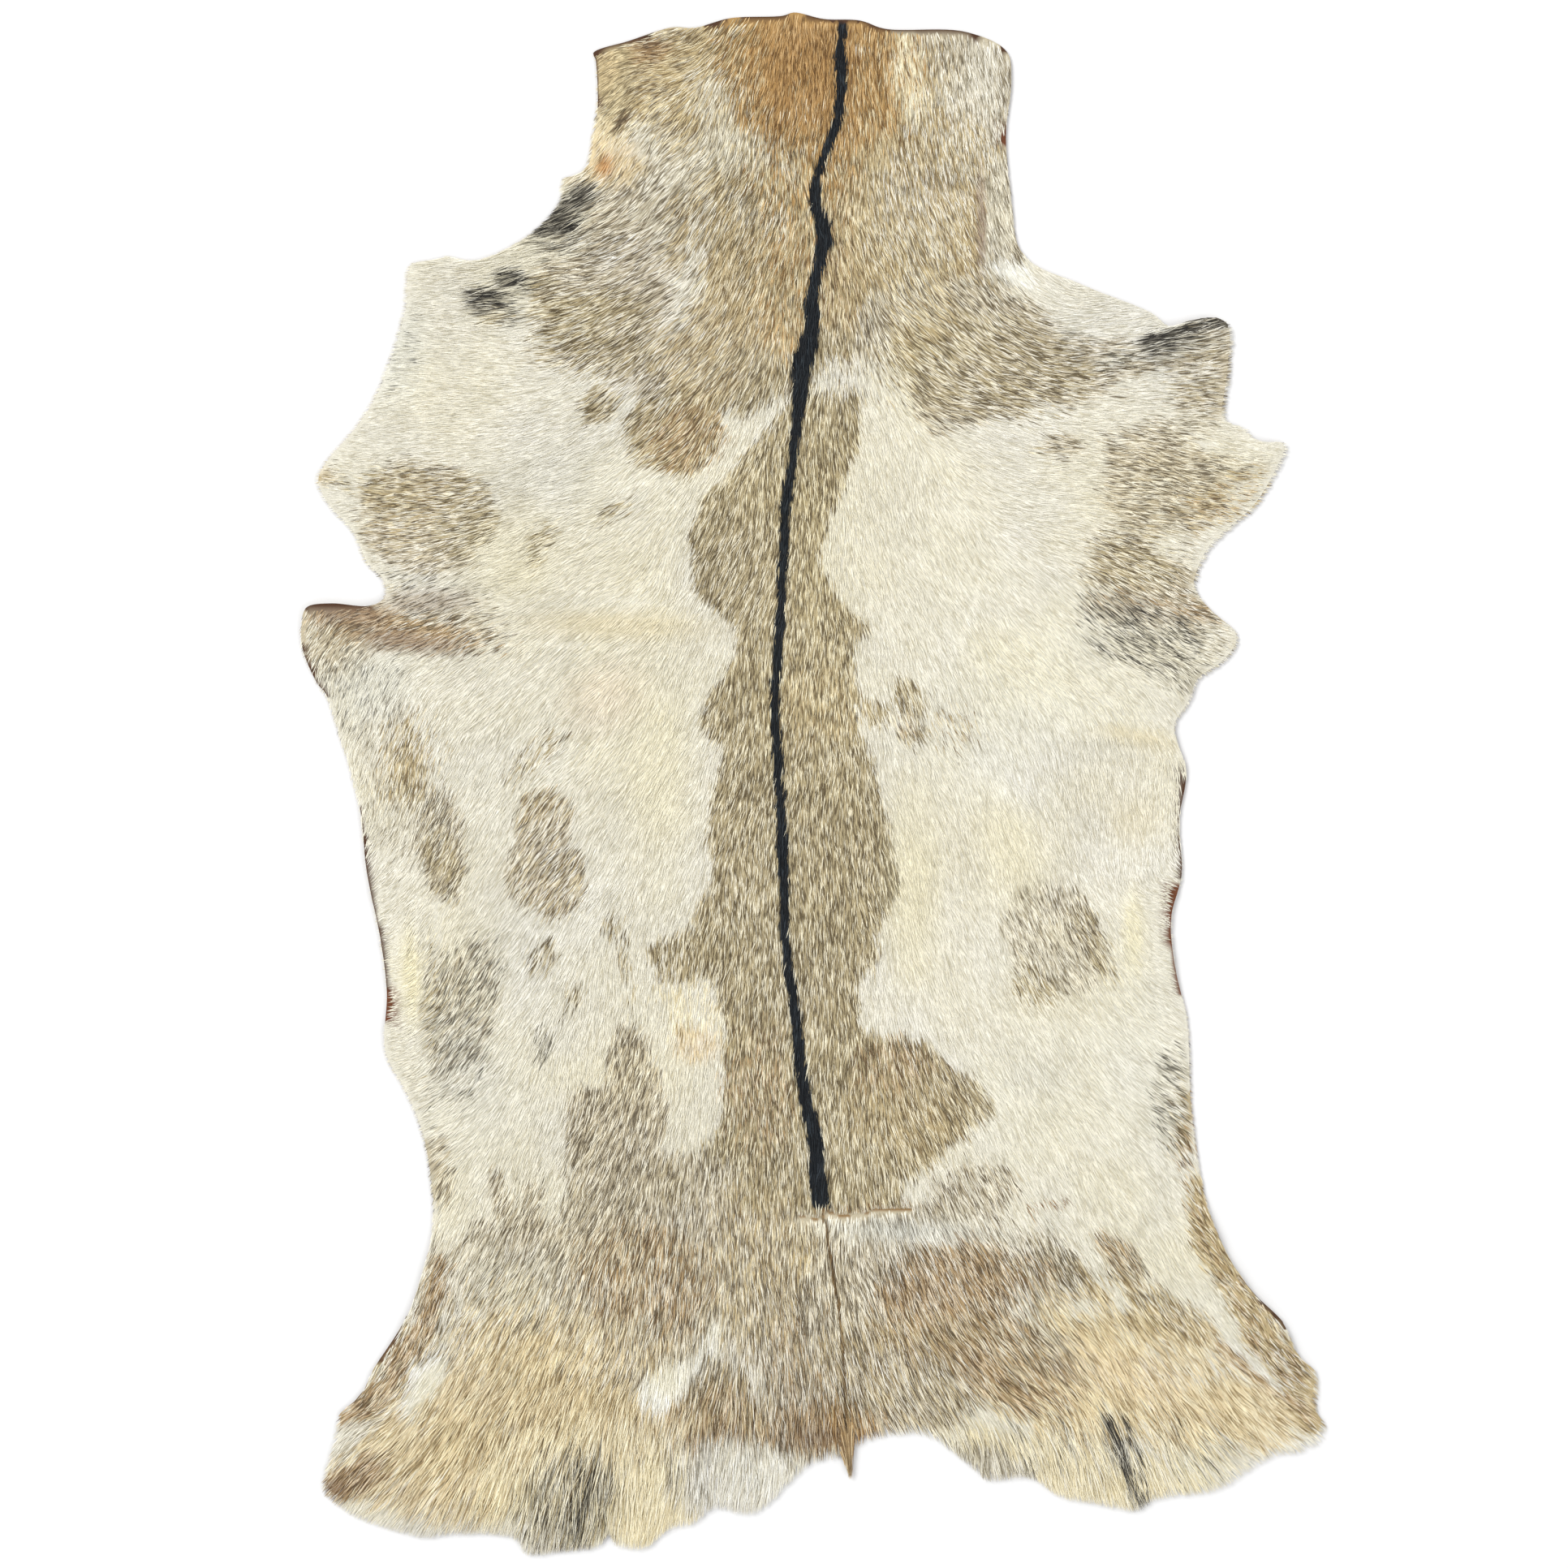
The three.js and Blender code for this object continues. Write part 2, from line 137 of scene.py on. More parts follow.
# How the hair lies: x, y, heading, length.
FLOW = [
    (15, 460, -90, 11), (0, 380, -90, 12), (0, 280, -90, 12), (-15, 180, -90, 11),
    (-22, 60, -90, 11), (-20, -60, -90, 11), (-10, -180, -90, 12), (5, -260, -90, 13),
    (-101, 445, -170, 10), (-120, 430, -145, 9), (-76, 383, -135, 12), (-50, 410, -100, 12),
    (-112, 393, -120, 10), (-50, 333, -110, 12), (-101, 308, -150, 12), (-150, 320, -170, 12),
    (-76, 258, -130, 12), (-101, 208, -140, 12), (-50, 208, -110, 11), (-150, 183, -165, 12),
    (-250, 173, -175, 11), (-290, 190, -185, 9), (-200, 258, -182, 12), (-245, 290, -180, 10),
    (-225, 203, -178, 12), (-276, 143, -175, 9), (-200, 133, -160, 12), (-126, 133, -145, 12),
    (-76, 133, -110, 11), (-276, 105, -165, 9), (-300, 96, -125, 9), (-300, 68, -100, 9),
    (-276, 68, -110, 10), (-250, 93, -162, 10), (-226, 73, -145, 11), (-200, 58, -130, 11),
    (-200, 103, -160, 12), (-250, 43, -105, 10), (-126, 83, -140, 12), (-101, 33, -120, 12),
    (-76, 58, -105, 11), (-150, 8, -130, 12), (-200, 8, -120, 12), (-250, 8, -100, 11),
    (-280, 8, -103, 10), (-150, -42, -125, 12), (-101, -42, -110, 12), (-226, -117, -115, 12),
    (-226, -167, -125, 12), (-252, -167, -160, 10), (-262, -162, -168, 9), (-236, -207, -150, 11),
    (-260, -95, -176, 7), (-262, -120, -178, 7), (-249, -95, -100, 9), (-176, -67, -120, 12),
    (-150, -167, -105, 12), (-101, -117, -92, 12), (-226, -262, -115, 12), (-201, -317, -120, 14),
    (-221, -317, -112, 13), (-251, -342, -118, 12), (-276, -367, -125, 12), (-276, -387, -152, 13),
    (-286, -412, -135, 15), (-281, -437, -125, 17), (-251, -417, -128, 18), (-226, -442, -118, 20),
    (-201, -457, -105, 22), (-151, -442, -102, 24), (-101, -442, -93, 22), (-151, -342, -115, 16),
    (-101, -317, -95, 14), (-151, -267, -112, 13), (-176, -242, -110, 13), (-76, -317, -97, 14),
    (-51, -267, -92, 13), (-26, -317, -84, 14), (-51, -437, -97, 20), (-76, -367, -100, 17),
    (0, -407, -88, 16), (50, -317, -70, 14), (98, -342, -55, 15), (123, -367, -43, 16),
    (73, -377, -60, 16), (148, -342, -50, 16), (123, -417, -75, 20), (98, -417, -84, 18),
    (148, -242, -62, 13), (123, -292, -60, 14), (173, -292, -55, 14), (198, -342, -52, 16),
    (223, -317, -52, 14), (248, -342, -50, 13), (273, -367, -45, 14), (298, -382, -35, 13),
    (273, -327, -50, 11), (248, -392, -52, 18), (273, -412, -48, 16), (223, -417, -62, 20),
    (198, -427, -72, 22), (173, -432, -75, 22), (148, -432, -78, 21), (223, -242, -55, 12),
    (223, -182, -28, 11), (198, -167, -45, 12), (173, -192, -50, 12), (123, -192, -60, 12),
    (148, -92, -65, 12), (173, -107, -60, 12), (123, -17, -70, 12), (173, 8, -75, 12),
    (208, -2, -88, 10), (198, -42, -90, 10), (214, -72, -12, 7), (218, -97, -5, 7),
    (200, -92, -60, 9), (148, -67, -70, 12), (173, 268, 0, 12), (223, 268, -12, 12),
    (198, 183, -10, 12), (148, 183, -5, 12), (98, 233, -20, 12), (73, 283, -42, 12),
    (48, 333, -70, 12), (48, 408, -85, 12), (98, 408, -80, 11), (98, 358, -75, 11),
    (198, 88, -30, 11), (148, 83, -45, 12), (243, 88, -20, 9), (248, 183, -12, 10),
    (280, 200, -10, 8), (73, 133, -60, 12), (98, 33, -65, 12), (48, 183, -75, 12),
    (223, 48, -55, 10), (-152, 354, -158, 19), (-168, 342, -166, 17), (-200, 297, -172, 15),
    (218, 275, 22, 16), (240, 281, 14, 14),
]

# Strips of the skin's edge that show bare, by where they run: from, to, width, colour. No hair
# roots stand within the margin of one, or of the slit.
BARE_MARGIN = 0.6
BARE_EDGES = [
    ((-136, 450), (-101, 461), 0.7, "edge"), ((-66, 468), (-20, 473), 0.3, "edge"),
    ((-20, 473), (6, 471), 0.3, "edge"), ((6, 471), (28, 470), 0.4, "edge"),
    ((28, 470), (43, 465), 0.4, "edge"), ((43, 465), (93, 463), 0.2, "edge"),
    ((93, 463), (118, 451), 0.3, "edge"), ((-136, 447), (-134, 418), 0.8, "edge"),
    ((118.6, 403), (118.6, 395), 2.4, "flesh"),
    ((-281, -17), (-264, -130), 1.4, "edge"), ((-312, 109), (-276, 110), 1.4, "edge"),
    ((-316, 84), (-302, 54), 1.0, "edge"), ((227, 5), (227, -57), 1.2, "edge"),
    ((222, -66), (226, -125), 3.6, "flesh"), ((-264, -130), (-262, -142), 3.0, "flesh"),
    ((262, -302), (290, -333), 1.0, "edge"), ((-268, -355), (-255, -335), 1.0, "edge"),
]

# The black stripe down the back: y, middle, width.
STRIPE = [
    (470, 18.5, 4), (458, 16.5, 3.5), (445, 16, 6), (433, 17, 5), (408, 14.5, 5), (395, 9.5, 4.5),
    (383, 5, 4), (370, 1, 5), (358, 0, 5.5), (345, 5, 8), (335, 6.5, 9), (320, 3.5, 6),
    (308, 0, 5.5), (295, -1.5, 7), (283, -0.5, 8), (270, -4, 11), (258, -7.5, 11),
    (245, -8.5, 8), (233, -9, 6), (218, -11.5, 5), (193, -14, 4.5), (173, -17.5, 4.5),
    (143, -19, 4), (123, -20, 4), (93, -21.5, 4), (68, -23, 4), (48, -24, 4), (23, -23, 4.5),
    (3, -22, 5), (-17, -20.5, 5), (-47, -19.5, 5), (-67, -18, 5), (-92, -18.5, 4),
    (-117, -15, 4.5), (-142, -11.5, 5), (-167, -9, 5.5), (-192, -6, 6), (-217, 0.5, 7.5),
    (-242, 2, 8.5), (-261.5, 5, 9.5),
]
STRIPE_END = -261.5

# The fine parting from the stripe's end to the tail: y, middle, width.
PARTING = [
    (-266, 5.5, 2.2), (-291, 10, 1.8), (-317, 14, 1.6), (-342, 17.5, 1.6), (-367, 19, 1.8),
    (-392, 19, 2.2), (-412, 20, 2.4),
]

# The mended slit across the rump, left to right, and its faint far end.
SLIT = [
    (-10, -266), (2, -267.5), (9, -264), (16, -265.5), (31, -264.5), (36, -262), (60, -261.5),
]
SLIT_END = [(133, -266), (138, -262), (147, -259), (158, -259)]

# Creases that press the coat down: name, depth, width, path.
CREASES = [
    ("rump parting", 0.7, 2.2, [(5, -264), (14, -317), (19, -367), (20, -410)]),
    ("right neck crease", 0.6, 2.5, [(101, 372), (103, 345), (104, 315), (112, 306)]),
    ("left shoulder crease", 0.7, 6, [(-262, 118), (-240, 104), (-205, 100), (-160, 106)]),
    ("left foreleg crease", 0.7, 5, [(-300, 92), (-262, 84), (-228, 82)]),
    ("left hind leg crease", 0.6, 4, [(-226, -292), (-240, -335), (-258, -375), (-285, -398)]),
    ("right hind leg crease", 0.6, 4, [(232, -262), (252, -298), (276, -334), (300, -372)]),
    ("right foreleg crease", 0.6, 5, [(176, 118), (206, 112), (236, 116)]),
    ("right shoulder crease", 0.5, 4, [(196, 150), (206, 172), (226, 186)]),
    ("left belly crease", 0.5, 5, [(-252, -80), (-250, -120), (-254, -150)]),
    ("right belly crease", 0.5, 5, [(206, -60), (202, -92), (206, -122)]),
]

# The band of agouti hair along the back: y, left edge, right edge.
BACK_BAND = [
    (246, -18, 26), (223, -28, 27), (205, -42, 25), (190, -55, 24), (180, -62, 21), (172, -68, 15),
    (160, -73, 9), (150, -75, 6), (136, -74, 4), (125, -73, 5), (116, -71, 11), (108, -66, 19),
    (102, -56, 28), (96, -48, 32), (90, -48, 31), (80, -50, 25), (70, -55, 25), (60, -61, 26),
    (50, -66, 27), (40, -70, 26), (30, -67, 25), (20, -62, 31), (10, -61, 35), (0, -60, 37),
    (-25, -62, 46), (-50, -63, 49), (-60, -65, 49), (-75, -70, 47), (-86, -74, 43), (-105, -74, 38),
    (-118, -68, 33), (-128, -60, 28), (-145, -55, 27), (-152, -54, 34), (-158, -53, 52),
    (-165, -53, 68), (-172, -53, 77), (-181, -52, 92), (-190, -54, 107), (-200, -56, 114),
    (-208, -60, 108), (-216, -66, 94), (-226, -80, 78), (-236, -110, 66), (-246, -150, 55),
    (-262, -150, 53), (-290, -150, 60),
]

# Patches of the coat, painted in this order: tone, x, y, half width, half height, turn, how
# softly the edge fades out, and the share of the hairs that take the tone.
PATCHES = [
    # neck
    ("agouti", -5, 385, 148, 142, 0, 8, 1), ("agouti", -62, 282, 84, 47, 0, 6, 1),
    ("fawn", -20, 350, 66, 96, 0, 24, 0.8), ("fawn", 38, 340, 50, 90, 0, 24, 0.75),
    ("fawn", -52, 288, 60, 44, 6, 16, 0.65), ("fawn", -50, 430, 52, 50, 0, 30, 0.6),
    ("gold", -8, 446, 40, 46, 6, 32, 0.95), ("gold", -12, 396, 24, 56, 0, 24, 0.55),
    ("gold", 34, 442, 30, 44, 0, 28, 0.95), ("gold", 30, 396, 22, 40, 0, 20, 0.5),
    ("gold", -16, 304, 20, 46, 4, 14, 0.45), ("pale", -66, 358, 40, 26, 0, 20, 0.25),
    ("brown", 14, 330, 18, 50, 0, 14, 0.25), ("olive", -10, 350, 60, 70, 0, 20, 0.25),
    ("fawn", 70, 350, 44, 60, 0, 20, 0.7), ("fawn", 60, 420, 34, 54, 0, 26, 0.7),
    ("gold", 34, 438, 26, 38, 0, 26, 0.6), ("fawn", -74, 440, 40, 32, 0, 22, 0.4),
    ("golden", -127, 426, 11, 34, 0, 5, 0.95), ("fawn", -122, 434, 14, 28, 0, 6, 0.5),
    ("fawn", -105, 442, 15, 16, 0, 8, 0.8), ("fawn", -88, 440, 16, 20, 0, 10, 0.4),
    ("brown", -102, 452, 10, 9, 0, 4, 0.9), ("fawn", -108, 412, 7, 14, 0, 5, 0.7),
    ("golden", -126, 386, 16, 20, 0, 8, 0.7), ("cream", -110, 392, 16, 10, 20, 8, 0.8),
    ("pale", -62, 420, 16, 26, 15, 14, 0.6), ("pale", -58, 388, 26, 12, 10, 12, 0.8),
    ("pale", -92, 372, 22, 10, 30, 10, 0.6), ("white", -130, 333, 20, 9, -12, 6, 0.85),
    ("pale", -118, 340, 26, 16, 0, 10, 0.6), ("pale", -80, 306, 10, 38, -20, 8, 0.8),
    ("cream", -84, 302, 6, 34, -20, 6, 0.5), ("pale", 96, 412, 30, 56, 0, 30, 0.65),
    ("pale", 106, 440, 14, 26, 0, 10, 0.6), ("butter", 58, 436, 7, 26, 6, 8, 0.45),
    ("cream", 62, 408, 6, 14, 0, 6, 0.4), ("pale", 112, 345, 10, 34, 0, 6, 0.9),
    ("pale", 66, 340, 30, 46, 0, 18, 0.45), ("white", 122, 313, 14, 8, -26, 5, 0.9),
    # shoulders
    ("agouti", -130, 303, 44, 46, 0, 7, 0.92), ("olive", -48, 246, 34, 20, 0, 6, 0.85),
    ("olive", -86, 218, 30, 27, 8, 3, 1), ("olive", -80, 198, 14, 10, 0, 3, 0.8),
    ("olive", 14, 250, 24, 26, 0, 6, 0.8), ("agouti", 92, 266, 66, 42, -10, 6, 1),
    ("agouti", 82, 232, 22, 18, -30, 5, 0.9), ("agouti", 160, 256, 66, 22, -4, 7, 0.9),
    ("agouti", 236, 256, 26, 28, 0, 8, 0.9), ("fawn", 62, 290, 26, 24, 0, 12, 0.5),
    ("cream", 150, 300, 16, 7, -28, 5, 0.8), ("cream", 188, 290, 40, 12, -16, 4, 0.95),
    ("cream", 24, 250, 26, 12, 0, 6, 0.85), ("cream", 46, 226, 15, 34, 0, 5, 0.9),
    ("pale", 40, 276, 7, 26, 0, 6, 0.6), ("pale", 60, 290, 10, 30, 0, 8, 0.4),
    ("cream", 198, 236, 38, 10, 22, 5, 0.95), ("cream", 168, 224, 24, 10, 20, 6, 0.9),
    ("olive", 104, 258, 66, 34, -4, 12, 0.45), ("olive", 240, 250, 20, 20, 0, 8, 0.3),
    ("slate", 212, 266, 36, 8, 8, 6, 0.7), ("slate", 160, 280, 12, 4, 0, 3, 0.4),
    ("white", -38, 212, 20, 4, 50, 4, 0.4), ("slate", -156, 352, 24, 12, 24, 4, 1),
    ("slate", -158, 334, 20, 9, 10, 6, 0.7), ("pale", -154, 368, 6, 5, 0, 3, 0.8),
    ("slate", -196, 293, 15, 10, -4, 4, 0.85), ("slate", -183, 308, 15, 7, -4, 3, 0.85),
    ("charcoal", -201, 296, 12, 6, -10, 3, 0.8), ("charcoal", -186, 309, 12, 5, -8, 3, 0.7),
    ("olive", -168, 306, 9, 8, 0, 4, 0.6), ("olive", -198, 287, 8, 5, 0, 3, 0.5),
    ("olive", -132, 232, 14, 11, 40, 4, 0.95), ("agouti", -150, 262, 22, 8, 0, 4, 0.7),
    ("olive", -136, 276, 40, 26, 0, 10, 0.6), ("olive", -140, 292, 38, 8, 0, 4, 0.5),
    ("fawn", -84, 214, 28, 24, 8, 6, 0.3), ("brown", -78, 214, 24, 22, 8, 8, 0.35),
    ("fawn", -66, 250, 22, 26, 0, 8, 0.5),
    # left foreleg
    ("agouti", -240, 165, 41, 34, -12, 8, 0.9), ("fawn", -246, 166, 32, 27, -12, 8, 0.3),
    ("olive", -262, 184, 22, 14, 10, 6, 0.45), ("olive", -216, 164, 21, 24, 0, 6, 0.6),
    ("agouti", -232, 138, 22, 10, -8, 6, 0.6), ("olive", -168, 149, 7, 15, -24, 5, 0.6),
    ("olive", -124, 164, 11, 6, 12, 4, 0.6), ("olive", -301, 192, 8, 8, 0, 4, 0.35),
    ("slate", -256, 262, 12, 26, -18, 8, 0.16), ("slate", -262, 120, 30, 12, -4, 8, 0.35),
    ("slate", -284, 62, 30, 34, 0, 14, 0.22), ("agouti", -294, 90, 24, 22, 0, 8, 0.65),
    # The brown patch on the next line lies along the left foreleg fold: brown hair, and painted shade of
    # the fold.
    ("agouti", -246, 98, 52, 18, -6, 12, 0.85), ("brown", -256, 92, 46, 10, -8, 10, 0.6),
    ("pale", -262, 20, 18, 34, 0, 10, 0.6), ("slate", -232, 112, 34, 9, 4, 6, 0.4),
    # right foreleg
    ("agouti", 214, 186, 36, 34, 18, 9, 0.85), ("fawn", 254, 176, 34, 15, 24, 7, 0.4),
    ("brown", 256, 176, 30, 10, 24, 7, 0.25), ("agouti", 240, 196, 36, 14, 14, 8, 0.5),
    ("agouti", 200, 208, 24, 16, 0, 8, 0.5), ("agouti", 206, 150, 32, 20, 8, 8, 0.7),
    ("olive", 200, 146, 26, 14, 8, 8, 0.3), ("agouti", 204, 130, 34, 15, 0, 8, 0.85),
    ("olive", 196, 132, 22, 12, 0, 7, 0.3), ("agouti", 214, 106, 44, 15, -8, 7, 0.95),
    ("brown", 220, 110, 36, 8, -8, 7, 0.3), ("slate", 208, 94, 42, 16, -20, 8, 0.85),
    ("charcoal", 210, 96, 38, 14, -18, 9, 0.24), ("slate", 214, 72, 38, 12, -28, 8, 0.4),
    ("pale", 250, 86, 12, 10, -30, 5, 0.8), ("cream", 222, 146, 17, 6, 10, 5, 0.7),
    ("cream", 262, 212, 28, 8, -12, 5, 0.85), ("pale", 236, 222, 16, 7, 0, 5, 0.7),
    ("agouti", 155, 209, 12, 8, -10, 4, 0.8), ("olive", 138, 206, 8, 6, 0, 4, 0.3),
    # back and right flank
    ("olive", 40, 43, 12, 9, 0, 4, 0.7), ("olive", 61, 52, 9, 14, 14, 3, 0.8),
    ("olive", 62, 31, 10, 9, -10, 4, 0.8), ("brown", 58, 34, 7, 7, 0, 4, 0.3),
    ("fawn", 86, 34, 14, 16, 30, 10, 0.35), ("fawn", 0, 46, 30, 24, 0, 14, 0.4),
    ("pale", 149, -98, 29, 38, 16, 2, 1), ("agouti", 149, -98, 28, 37, 16, 4, 0.28),
    ("olive", 174, -100, 8, 30, 24, 4, 0.5), ("olive", 138, -124, 10, 16, 40, 5, 0.35),
    ("slate", 224, -192, 15, 32, -6, 5, 0.7), ("olive", 228, -206, 9, 26, -6, 5, 0.4),
    ("brown", 233, -215, 5, 36, -6, 4, 0.5), ("brown", 46, -174, 22, 16, 0, 10, 0.5),
    ("fawn", 60, -200, 40, 30, 0, 16, 0.35), ("brown", -34, -190, 20, 40, 0, 14, 0.4),
    # left flank
    ("pale", -250, -20, 16, 34, 0, 8, 0.45), ("olive", -249, 14, 10, 20, 2, 8, 0.35),
    ("fawn", -250, 14, 18, 26, 0, 14, 0.4), ("agouti", -229, -38, 15, 33, 8, 4, 0.85),
    ("slate", -234, -24, 10, 18, 4, 4, 0.4), ("olive", -228, -48, 11, 26, 6, 4, 0.5),
    ("agouti", -166, -27, 17, 23, -10, 5, 0.6), ("fawn", -167, -24, 15, 22, -8, 6, 0.5),
    ("agouti", -166, -59, 25, 22, -12, 5, 0.8), ("fawn", -164, -60, 22, 20, -12, 6, 0.35),
    ("agouti", -168, -42, 19, 20, 0, 5, 0.7),
    ("olive", -172, 14, 20, 8, 38, 6, 0.45), ("olive", -124, -90, 6, 10, -10, 4, 0.5),
    ("olive", -82, -108, 21, 16, 4, 3, 0.95), ("slate", -218, -138, 21, 42, -12, 6, 0.6),
    ("agouti", -218, -140, 20, 40, -12, 7, 0.4), ("slate", -204, -118, 10, 22, -8, 5, 0.4),
    ("olive", -236, -134, 6, 38, -2, 5, 0.5), ("agouti", -233, -240, 9, 26, 6, 4, 0.8),
    ("slate", -216, -182, 22, 12, 30, 8, 0.3), ("olive", -167, -110, 9, 11, -30, 4, 0.65),
    ("olive", -152, -136, 6, 11, -22, 4, 0.5), ("slate", -168, -162, 6, 11, 0, 4, 0.5),
    ("olive", -117, -108, 5, 12, 0, 4, 0.5), ("olive", -111, -132, 5, 8, 0, 5, 0.25),
    ("slate", -238, -238, 5, 34, 4, 4, 0.7),
    # left of the rump
    ("agouti", -116, -166, 14, 17, 0, 3, 0.95), ("agouti", -126, -218, 30, 34, 6, 3, 0.98),
    ("agouti", -112, -200, 20, 34, 0, 4, 0.95), ("agouti", -126, -252, 32, 34, 0, 5, 1),
    ("agouti", -88, -252, 46, 24, 0, 5, 1), ("agouti", -193, -254, 7, 18, 0, 4, 0.7),
    ("agouti", -173, -258, 8, 14, 0, 4, 0.7), ("agouti", -186, -276, 26, 12, 0, 6, 0.8),
    ("agouti", -51, -342, 182, 78, 0, 6, 1), ("agouti", -165, -312, 66, 40, 0, 8, 1),
    ("cream", -158, -248, 7, 22, 0, 5, 0.8), ("cream", -75, -200, 16, 29, 0, 3.5, 0.95),
    ("cream", -78, -140, 22, 18, 0, 4, 0.95), ("butter", -78, -140, 22, 18, 0, 8, 0.5),
    ("golden", -72, -163, 16, 12, 0, 8, 0.35),
    ("cream", -98, -144, 12, 12, 0, 5, 0.7), ("pale", -196, -324, 54, 42, 0, 18, 0.7),
    ("cream", -206, -318, 40, 30, 0, 20, 0.25), ("golden", -190, -340, 50, 30, 0, 20, 0.3),
    ("brown", -104, -310, 42, 34, 0, 18, 0.45), ("fawn", -30, -300, 36, 50, 0, 20, 0.4),
    ("olive", -252, -362, 34, 22, 50, 10, 0.4), ("fawn", -168, -362, 70, 30, 0, 20, 0.3),
    ("fawn", -58, -384, 34, 22, 0, 8, 0.5), ("brown", -58, -388, 30, 18, 0, 8, 0.35),
    ("brown", -36, -402, 58, 10, 0, 6, 0.45), ("brown", -8, -366, 20, 46, 0, 12, 0.3),
    ("golden", -170, -362, 66, 26, 4, 24, 0.6), ("golden", -196, -396, 86, 32, 0, 14, 0.85),
    ("golden", -214, -426, 84, 28, 0, 8, 0.95), ("golden", -118, -392, 46, 18, 0, 12, 0.7),
    ("butter", -140, -430, 66, 40, 0, 8, 0.8), ("butter", -98, -446, 30, 28, 0, 6, 0.9),
    ("fawn", -230, -400, 66, 26, 24, 20, 0.25), ("fawn", -126, -394, 54, 24, 0, 18, 0.25),
    ("pale", -52, -428, 38, 22, 8, 8, 0.7),
    ("cream", -48, -430, 36, 20, 8, 8, 0.75), ("white", -40, -430, 28, 16, 8, 10, 0.4),
    ("pale", -80, -424, 16, 14, 0, 8, 0.5), ("olive", -152, -448, 32, 36, 0, 14, 0.45),
    ("slate", -152, -448, 32, 36, 0, 12, 0.3), ("charcoal", -148, -442, 14, 24, -8, 10, 0.1),
    ("charcoal", -172, -456, 8, 18, -6, 6, 0.1), ("cream", -238, -370, 9, 23, -32, 5, 0.9),
    ("white", -239, -371, 7, 18, -32, 4, 0.75),
    ("cream", -296, -403, 8, 8, 0, 4, 0.8), ("pale", -278, -400, 22, 5, 40, 4, 0.6),
    ("olive", -262, -366, 40, 8, 50, 5, 0.6), ("brown", -288, -430, 24, 10, 30, 6, 0.85),
    ("pale", -234, -300, 8, 26, -8, 6, 0.5),
    # right of the rump
    ("agouti", 82, -327, 98, 58, -4, 6, 1), ("agouti", 140, -302, 42, 26, -28, 5, 0.85),
    ("agouti", 98, -252, 28, 17, -6, 5, 0.8), ("agouti", 60, -268, 60, 8, 0, 5, 0.8),
    ("pale", 74, -276, 74, 11, -2, 7, 0.85), ("cream", 134, -271, 24, 8, -14, 6, 0.7),
    ("brown", 94, -322, 54, 36, 0, 14, 0.75), ("olive", 150, -306, 26, 16, -28, 6, 0.3),
    ("pale", 142, -326, 24, 18, -30, 12, 0.5),
    ("fawn", 60, -360, 60, 30, 0, 20, 0.4), ("agouti", 188, -290, 19, 10, -42, 4, 0.95),
    ("brown", 186, -289, 16, 8, -42, 4, 0.5), ("golden", 218, -362, 84, 32, -24, 10, 0.9),
    ("golden", 164, -388, 54, 18, -10, 12, 0.8), ("brown", 124, -366, 40, 18, -14, 10, 0.75),
    ("agouti", 140, -352, 36, 18, -20, 12, 0.35), ("fawn", 206, -324, 44, 14, -30, 8, 0.8),
    ("agouti", 206, -318, 40, 10, -32, 6, 0.35), ("cream", 166, -326, 9, 7, 20, 4, 0.85),
    ("golden", 260, -392, 52, 20, 10, 8, 0.85), ("butter", 150, -424, 70, 20, -12, 8, 0.85),
    ("butter", 220, -426, 40, 16, 10, 8, 0.6), ("pale", 104, -420, 34, 12, -14, 6, 0.9),
    ("slate", 140, -404, 26, 20, -10, 10, 0.16), ("slate", 232, -410, 26, 20, -10, 10, 0.16),
    ("brown", 8, -398, 34, 15, 0, 8, 0.8), ("gold", 20, -396, 14, 14, 0, 6, 0.4),
]

